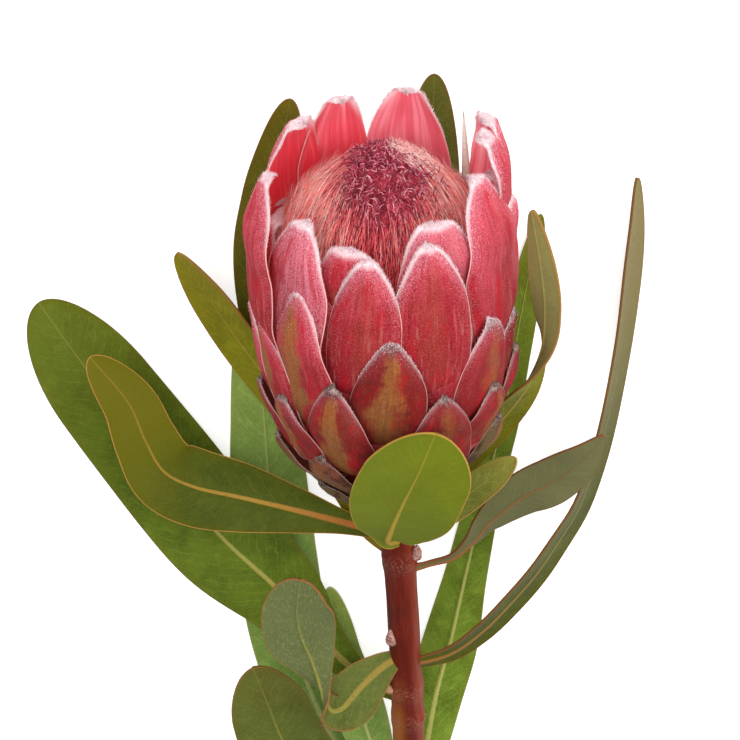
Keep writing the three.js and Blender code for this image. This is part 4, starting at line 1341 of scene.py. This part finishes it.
def make_florets(florets):
    """A ridged core, long silky filaments that lie up the dome, and dark and pale hairs on them."""
    rng = np.random.default_rng(SEED * 100)
    silk = floret_material(florets)

    steps, sides = CORE_GRID
    share = np.linspace(0, 1, steps)[1:-1, None]
    turn = turns(sides)
    ridges = 0.25 * np.sin(turn * 61 + share * 20) * (1 - ease((share - 0.5) / 0.3))
    rings = on_dome(share, turn, flare(share, turn) - 1.9 + ridges)
    points = capped(on_head(0.0, 0.0, DOME[0][1]), rings, on_head(0.0, 0.0, DOME[-1][1] - 0.5))
    marks = {
        "rise": capped(0, np.repeat(share, sides), 1),
        "tone": np.full(len(points), 0.3),
        "up": np.zeros(len(points)),
        "aside": capped(0, np.tile(np.sin(turn) ** 2, steps - 2), 0),
    }
    piece("floret_core", points, ring_faces(steps - 2, sides), marks, silk, "florets")

    # Filaments: each leaves the dome, bows out into the flare of the hair and ends in a fine point.
    count = florets.filaments
    start = 0.70 * (1 - rng.uniform(0, 1, count) ** 0.62)
    angle = rng.uniform(0, TAU, count)
    tone = rng.uniform(0, 1, count)
    t = np.linspace(0, 1, FILAMENT_KNOTS)
    reach = rng.uniform(0.15, 0.30, count)[:, None] * (1 - 0.4 * start[:, None])
    path = np.minimum(start[:, None] + reach * t, 0.995)
    depth = rng.uniform(-1.7, 0.3, count)[:, None] * (0.3 + 0.7 * ease((0.7 - path) / 0.4))
    lift = -0.8 + (flare(path, angle[:, None]) + 0.8 + depth) * ease(t * 2.2)
    sway = rng.normal(0, 0.04, count)[:, None] * t * t * (1 + 1.6 * path)
    lines = on_dome(path, angle[:, None] + sway, lift)
    lines = lines + rng.normal(0, 0.13, lines.shape) * t[:, None]
    radius = rng.uniform(0.11, 0.24, count)[:, None] * np.sqrt(np.maximum(1 - t**3, 0.02))
    points, faces, size = tubes(lines, radius, 3)
    spread = capped(t[0], np.repeat(t[1:-1], 3), t[-1])
    marks = {
        "rise": start[:, None] + reach * spread,
        "tone": np.repeat(tone, size),
        "up": np.tile(spread, count),
        "aside": np.repeat(np.sin(angle) ** 2, size),
    }
    piece("floret_filaments", points, faces, marks, silk, "florets")

    # Dark hairs along the filaments, and pale ones between them, most of those low and at the sides.
    for label, (low, high, crowding, width, length, bearing, most) in FLORET_HAIRS.items():
        material = dyed_material(f"floret_{label}_hair")
        count = florets.short_hairs
        roots, tips = scattered(count, low, high, crowding, length, bearing, most, rng)
        widths = rng.uniform(*width, count)
        hair_piece(f"floret_{label}_hairs", roots, tips, widths, rng, material, "florets")


def make_crown(florets):
    """The dark top: short hooked floret tips in every direction, each an arc of its own length and bend."""
    rng = np.random.default_rng(SEED * 1000)
    # Dark, wine and lilac curls: the lilac ones are light hairs and painted highlights on the curls.
    material = dyed_material("floret_curl", ((0.20, 0.018, 0.038), florets.wine, florets.lilac), 0.55)
    count = florets.curls
    angle = rng.uniform(0, TAU, count)
    depth = 0.15 + 0.035 * np.sin(angle) + 0.21 * np.maximum(np.cos(angle), 0) ** 2
    stray = 1 + 0.8 * rng.uniform(0, 1, count) ** 4
    share = np.clip(1 - depth * stray * rng.uniform(0, 1, count) ** 0.66, 0.5, 0.995)
    root = on_dome(share, angle, rng.uniform(-0.6, 0.4, count) + flare(share, angle))
    out = unit(on_dome(share, angle, 5.0) - on_dome(share, angle, 0.0))
    above, below = np.minimum(share + 0.02, 1), share - 0.02
    upward = unit(on_dome(above, angle, 0.0) - on_dome(below, angle, 0.0))
    wander = unit(rng.normal(size=out.shape))
    low = (1 - ease((share - 0.64) / 0.2))[:, None]
    heading = unit(out * (0.8 - 0.45 * low) + wander * (0.9 - 0.5 * low) + upward * (0.25 + 0.9 * low))
    turn_axis = unit(np.cross(heading, rng.normal(size=out.shape)))
    length = rng.uniform(1.5, 3.2, count)
    bend = rng.uniform(0.6, 3.4, count) * (1 - 0.6 * low[:, 0])
    t = np.linspace(0, 1, CURL_KNOTS)
    swing = bend[:, None, None] * t[:, None]
    aside = np.cross(turn_axis, heading)[:, None]
    bent = np.maximum(bend, 1e-3)[:, None, None]
    arc = heading[:, None] * np.sin(swing) / bent + aside * (1 - np.cos(swing)) / bent
    lines = root[:, None] + arc * length[:, None, None]
    radius = rng.uniform(0.09, 0.19, count)[:, None] * np.sqrt(1.02 - t**2)
    points, faces, size = tubes(lines, radius, 3)
    tone = rng.uniform(0, 1, count) ** 1.15
    piece("floret_curls", points, faces, {"tone": np.repeat(tone, size)}, material, "florets")

    # A pale downy ridge behind the top, to the right.
    down = dyed_material("floret_down")
    count = florets.down_hairs
    angle = np.radians(rng.normal(*DOWN_BEARING, count))
    share = np.clip(rng.normal(*DOWN_SHARE, count), 0.6, 0.98)
    root = on_dome(share, angle, rng.uniform(0.2, 1.6, count) + flare(share, angle))
    ahead = np.minimum(share + 0.08, 0.998)
    lift = rng.uniform(1.0, 3.4, count) + flare(ahead, angle)
    aim = on_dome(ahead, angle + rng.normal(0, 0.12, count), lift)
    tips = root + (aim - root) * rng.uniform(0.5, 1.0, (count, 1))
    hair_piece("floret_down", root, tips, DOWN_WIDTH, rng, down, "florets")


def make_spike():
    """One narrow pale bract that stands between two others at the back, like a thorn with a dark point."""
    net = Net("spike_skin", Roughness=0.6, Specular_IOR_Level=0.25)
    up = net.mark("up")
    grain = net.noise(900.0, 3.0)
    colour = net.layered(
        SPIKE_SHADES["foot"],
        (up.rising(0.1, 0.7), SPIKE_SHADES["pale"]),
        (grain.rising(0.5, 0.7) * 0.3, SPIKE_SHADES["greenish"]),
        (up.rising(0.9, 0.98) * 0.8, SPIKE_SHADES["dark point"]),
    )
    material = net.finish(colour, None, grain, 0.0002)
    knots, sides = SPIKE_GRID
    t = np.linspace(0, 1, knots)[None]
    angle, away, height = (foot + (point - foot) * t for foot, point in zip(*SPIKE))
    radius = SPIKE_WIDTH / 2 * (1 - t) ** 0.8 + 0.1
    points, faces, _ = tubes(on_head(np.radians(angle), away, height), radius, sides)
    marks = {"up": capped(0, np.repeat(t[0, 1:-1], sides), 1)}
    piece("bract_spike", points, faces, marks, material, "bracts")


def stem_frame(share):
    """Points on the stem's axis and two unit vectors across it: to the side, and towards the viewer."""
    axis = Path(seen(STEM_AXIS) + SPRAY_SHIFT)
    tangent = axis.tangent(share)
    side = unit(np.cross(tangent, SIGHT))
    return axis.at(share), side, np.cross(side, tangent)


def make_stem(stem):
    """A round bar swept along the axis: thicker at the leaf nodes, with low ridges and a bevelled cut end."""
    steps, sides = STEM_GRID
    share = np.concatenate([np.zeros(len(CUT_BEVEL)), np.linspace(0.004, 1.0, steps)])[:, None]
    scale = np.concatenate([CUT_BEVEL, np.ones(steps)])[:, None]
    turn = turns(sides)
    centre, side, front = stem_frame(share[:, 0])
    swelling = sum(0.5 * np.exp(-(((share - node) / 0.025) ** 2)) for node in STEM_NODES)
    ridges = 0.10 * np.sin(5 * turn + 14 * share) + 0.06 * np.sin(11 * turn - 23 * share)
    scars = sum(
        0.22 * np.exp(-(((share - node) / 0.006) ** 2)) * np.cos(turn - bearing)
        for node, bearing in STEM_NODES.items()
    )
    radius = (stem.radius / MM + swelling + ridges + scars) * scale
    points = centre[:, None] + radius[..., None] * around(side, front, turn)
    points[..., 2] = np.maximum(points[..., 2], 0)
    rings = len(share) - 1
    level = np.repeat(share[1:], sides)
    node = sum(np.exp(-(((level - spot) / 0.02) ** 2)) for spot in STEM_NODES)
    marks = {
        "up": capped(0, level, 1),
        "around": capped(0, np.tile(turn / TAU, rings), 0),
        "cut": capped(1, np.repeat(scale[1:] < 0.9, sides), 0),
        "node": capped(0, node, 0),
    }
    points = capped(centre[0], points[1:], centre[-1])
    faces = ring_faces(rings, sides)[:, ::-1]
    piece("stem_bark", points, faces, marks, bark_material(stem), "stem")


def make_buds():
    """Small side buds: pointed eggs with three scales each, downy and pinkish."""
    material = grained_material("bud_down", Roughness=0.8, Specular_IOR_Level=0.2)
    steps, sides = BUD_GRID
    lengthways = np.linspace(0, math.pi, steps)[:, None]
    turn = turns(sides)
    level = -np.cos(lengthways)
    scales = 1 + 0.07 * np.sin(3 * turn + 5 * level)
    buds = []
    for place, radius, length in BUDS:
        ring = radius * np.sin(lengthways) ** 0.85 * (1 - 0.25 * level) * scales
        away = np.broadcast_to(length / 2 * level, ring.shape)
        grid = np.stack([ring * np.cos(turn), away, -ring * np.sin(turn)], -1)
        grid = seen([place])[0] + SPRAY_SHIFT + grid
        buds.append(capped(grid[0, 0], grid[1:-1], grid[-1, 0]))
    faces = copied(ring_faces(steps - 2, sides), len(buds), len(buds[0]))
    piece("stem_buds", np.concatenate(buds), faces, {}, material, "stem")


def make_stub():
    """What is left of a broken leaf stalk: a short bar with a rounded, torn end."""
    material = grained_material("stub_skin", Roughness=0.6, Specular_IOR_Level=0.25)
    foot, end = seen(STUB) + SPRAY_SHIFT
    knots, sides = STUB_GRID
    t = np.linspace(0, 1, knots)[None]
    lines = foot + (end - foot) * t[..., None]
    radius = STUB_RADIUS * (1 - 0.25 * t) * np.sqrt(np.maximum(1 - t**8, 0.1))
    points, faces, _ = tubes(lines, radius * (1 + 0.1 * np.sin(17 * t)), sides)
    piece("stem_stub", points, faces, {}, material, "stem")


def leaf_outline(shape, u):
    """Half width at u before the tip is rounded, the rounding, and how far u is into the rounded tip."""
    into = np.maximum((u - 0.8) / 0.2, 0)
    tip = np.sqrt(np.maximum(1 - into**2, 0))
    return along(shape["half"], u), tip, into


def make_leaf(name, shape, leaves, number):
    """A blade swept along its midrib: across it by v half widths, bowed into a trough by v squared, with a
    ridge along the midrib that narrows towards the tip, a slight bead along the edge and slow waves."""
    rng = np.random.default_rng(SEED * 7 + number)
    path = Path(seen(shape["path"]) + SPRAY_SHIFT)
    rows, columns = LEAF_GRID
    u = crowded(rows)[:, None]
    spaced = np.linspace(-1, 1, columns + 1)[None]
    v = np.sign(spaced) * (np.abs(spaced) - 0.12 * np.sin(TAU * np.abs(spaced)))
    tangent = path.tangent(u[:, 0])
    level = unit(np.cross(tangent, SIGHT))
    facing = np.cross(level, tangent)
    roll = np.radians(along(shape["roll"], u))
    across = level * np.cos(roll) + facing * np.sin(roll)
    normal = facing * np.cos(roll) - level * np.sin(roll)
    half, tip, into = leaf_outline(shape, u)
    width = np.maximum(half * tip, LEAST_HALF)
    off = width * v
    phase = rng.uniform(0, TAU, 2)
    ripple = 0.012 * np.sin(TAU * 3.3 * u + phase[0]) + 0.02 * np.sin(TAU * 1.4 * u + phase[1]) * np.sign(v)
    bow = shape["trough"] * width * v * v + ripple * half * v * v * ease(u / 0.2)
    middle = path.at(u[:, 0])[:, None] + across[:, None] * off[..., None] + normal[:, None] * bow[..., None]

    rib_width = (0.16 + 0.95 * (1 - u) ** 1.6) * np.minimum(np.max(half) / 9, 1.1)
    ridge = np.exp(-((off / rib_width) ** 2))
    petiole = 1 - ease(u / 0.12)
    blade = leaves.blade / MM / 2
    bead = 0.07 * np.exp(-((width * (1 - np.abs(v)) / 0.4) ** 2))
    hollow = 0.10 * np.exp(-((off / (rib_width * 2.4)) ** 2)) * (1 - petiole)
    round_off = np.sqrt(np.maximum(1 - v * v * petiole, 0.05))
    top = (blade + 0.26 * (1 - u) * ridge + petiole * 0.55 - hollow * 0.5) * round_off + bead
    bottom = (blade + (0.15 + 0.85 * (1 - u)) * ridge + petiole * 0.3) * round_off + bead
    upright = np.abs(normal[:, None, 2])
    middle[..., 2] = np.maximum(middle[..., 2], np.maximum(top, bottom) * upright)
    front = middle + normal[:, None] * top[..., None]
    back = middle - normal[:, None] * bottom[..., None]
    front[..., 2] = np.maximum(front[..., 2], 0)
    back[..., 2] = np.maximum(back[..., 2], 0)

    steep = np.sqrt((v * tip / half) ** 2 + (into / (0.2 * path.length)) ** 2)
    edge = np.minimum(tip**2 * (1 - v**2) / (2 * steep + 1e-3), 12)
    grid = np.broadcast_to(off, edge.shape)
    marks = {
        "up": np.broadcast_to(u, edge.shape),
        "along_mm": np.broadcast_to(u * path.length, edge.shape),
        "across_mm": grid,
        "edge_mm": edge,
        "rib": np.abs(grid) / rib_width,
    }
    marks = {label: (values[None], values[None]) for label, values in marks.items()}
    marks["under"] = (np.zeros((1,) + edge.shape), np.ones((1,) + edge.shape))
    points, faces, marks = closed_sheets(front[None], back[None], marks)
    material = leaf_material(name.replace("leaf_", ""), shape["finish"], leaves)
    piece(name + "_blade", points, faces, marks, material, name)


# Operators


class PROTEA_OT_bracts(bpy.types.Operator):
    """Makes the rows of bracts"""

    bl_idname = "protea.bracts"
    bl_label = "Bracts"

    def execute(self, context):
        make_bracts(context.scene.protea_head)
        make_spike()
        return {"FINISHED"}


class PROTEA_OT_bract_hairs(bpy.types.Operator):
    """Makes the fringe and pelt of hairs on the bracts"""

    bl_idname = "protea.bract_hairs"
    bl_label = "Bract hairs"

    def execute(self, context):
        make_bract_hairs(context.scene.protea_head)
        return {"FINISHED"}


class PROTEA_OT_receptacle(bpy.types.Operator):
    """Makes the base that carries the bracts"""

    bl_idname = "protea.receptacle"
    bl_label = "Receptacle"

    def execute(self, context):
        make_receptacle()
        return {"FINISHED"}


class PROTEA_OT_florets(bpy.types.Operator):
    """Makes the dome of silky florets"""

    bl_idname = "protea.florets"
    bl_label = "Florets"

    def execute(self, context):
        make_florets(context.scene.protea_florets)
        return {"FINISHED"}


class PROTEA_OT_crown(bpy.types.Operator):
    """Makes the dark curly top of the dome"""

    bl_idname = "protea.crown"
    bl_label = "Crown"

    def execute(self, context):
        make_crown(context.scene.protea_florets)
        return {"FINISHED"}


class PROTEA_OT_stem(bpy.types.Operator):
    """Makes the stem with its side buds"""

    bl_idname = "protea.stem"
    bl_label = "Stem and buds"

    def execute(self, context):
        make_stem(context.scene.protea_stem)
        make_buds()
        make_stub()
        return {"FINISHED"}


class PROTEA_OT_leaves(bpy.types.Operator):
    """Makes all leaves"""

    bl_idname = "protea.leaves"
    bl_label = "Leaves"

    def execute(self, context):
        for number, (name, shape) in enumerate(LEAVES.items()):
            make_leaf(name, shape, context.scene.protea_leaves, number)
        return {"FINISHED"}


class PROTEA_OT_stage(bpy.types.Operator):
    """Makes the floor, the lights and the camera"""

    bl_idname = "protea.stage"
    bl_label = "Stage"

    def execute(self, context):
        make_stage(context.scene.protea_stage)
        return {"FINISHED"}


def area_light(name, place, power):
    """A square soft light that faces the flower's head."""
    lamp = bpy.data.lights.new(name, "AREA")
    lamp.energy = power
    lamp.size = LIGHT_SIZE
    light = bpy.data.objects.new(name, lamp)
    bpy.context.scene.collection.objects.link(light)
    back = unit(np.array(place) - np.array(LIGHT_AIM))
    side = unit(np.cross((0.0, 1.0, 0.0), back))
    columns = np.stack([side, np.cross(back, side), back], 1)
    light.matrix_world = Matrix.Translation(place) @ Matrix(columns.tolist()).to_4x4()


def make_stage(stage):
    """A pale floor, a large key light up and to the left, a fill opposite it, white all round, a camera."""
    white = (1.0, 1.0, 1.0, 1.0)
    net = Net(
        "stage_floor", Roughness=0.9, Specular_IOR_Level=0.2, Emission_Color=white, Emission_Strength=0.5
    )
    material = net.finish(tuple(stage.floor))
    mesh = bpy.data.meshes.new("floor")
    sides = [(-1, -1), (1, -1), (1, 1), (-1, 1)]
    corners = [(x * FLOOR_REACH, y * FLOOR_REACH, -FLOOR_DROP) for x, y in sides]
    mesh.from_pydata(corners, [], [(0, 1, 2, 3)])
    mesh.materials.append(material)
    floor = bpy.data.objects.new("floor", mesh)
    bpy.context.scene.collection.objects.link(floor)

    area_light("key_light", KEY_PLACE, stage.key)
    area_light("fill_light", FILL_PLACE, stage.fill)
    world = bpy.data.worlds.new("studio")
    world.use_nodes = True
    surroundings = world.node_tree.nodes["Background"]
    surroundings.inputs["Color"].default_value = white
    surroundings.inputs["Strength"].default_value = stage.sky
    bpy.context.scene.world = world
    bpy.context.scene.view_settings.view_transform = "Standard"

    lens = bpy.data.cameras.new("camera")
    lens.sensor_width = SENSOR_WIDTH
    lens.lens = SENSOR_WIDTH * VIEW_DISTANCE / PHOTO_WIDTH
    lens.clip_start, lens.clip_end = CLIP
    camera = bpy.data.objects.new("camera", lens)
    bpy.context.scene.collection.objects.link(camera)
    axes = np.stack([(1.0, 0.0, 0.0), SIGHT_UP, SIGHT], 1)
    place = (AIM + SPRAY_SHIFT + VIEW_DISTANCE * SIGHT) * MM
    camera.matrix_world = Matrix.Translation(place) @ Matrix(axes.tolist()).to_4x4()
    bpy.context.scene.camera = camera


OPERATORS = (
    PROTEA_OT_receptacle,
    PROTEA_OT_bracts,
    PROTEA_OT_bract_hairs,
    PROTEA_OT_florets,
    PROTEA_OT_crown,
    PROTEA_OT_stem,
    PROTEA_OT_leaves,
    PROTEA_OT_stage,
)


class PROTEA_PT_panel(bpy.types.Panel):
    """Lists the flower's pieces and their settings"""

    bl_idname = "PROTEA_PT_panel"
    bl_label = "Protea"
    bl_space_type = "VIEW_3D"
    bl_region_type = "UI"
    bl_category = "Protea"

    def draw(self, context):
        for group in SETTINGS:
            box = self.layout.box()
            values = getattr(context.scene, group)
            for label in SETTINGS[group].__annotations__:
                box.prop(values, label)
        for operator in OPERATORS:
            self.layout.operator(operator.bl_idname)


SETTINGS = {
    "protea_head": HeadSettings,
    "protea_florets": FloretSettings,
    "protea_stem": StemSettings,
    "protea_leaves": LeafSettings,
    "protea_stage": StageSettings,
}


def register():
    for group, settings in SETTINGS.items():
        bpy.utils.register_class(settings)
        setattr(bpy.types.Scene, group, PointerProperty(type=settings))
    for operator in OPERATORS:
        bpy.utils.register_class(operator)
    bpy.utils.register_class(PROTEA_PT_panel)


def unregister():
    bpy.utils.unregister_class(PROTEA_PT_panel)
    for operator in reversed(OPERATORS):
        bpy.utils.unregister_class(operator)
    for group, settings in SETTINGS.items():
        delattr(bpy.types.Scene, group)
        bpy.utils.unregister_class(settings)


def main():
    register()
    for operator in OPERATORS:
        group, name = operator.bl_idname.split(".")
        getattr(getattr(bpy.ops, group), name)()


if __name__ == "__main__":
    main()
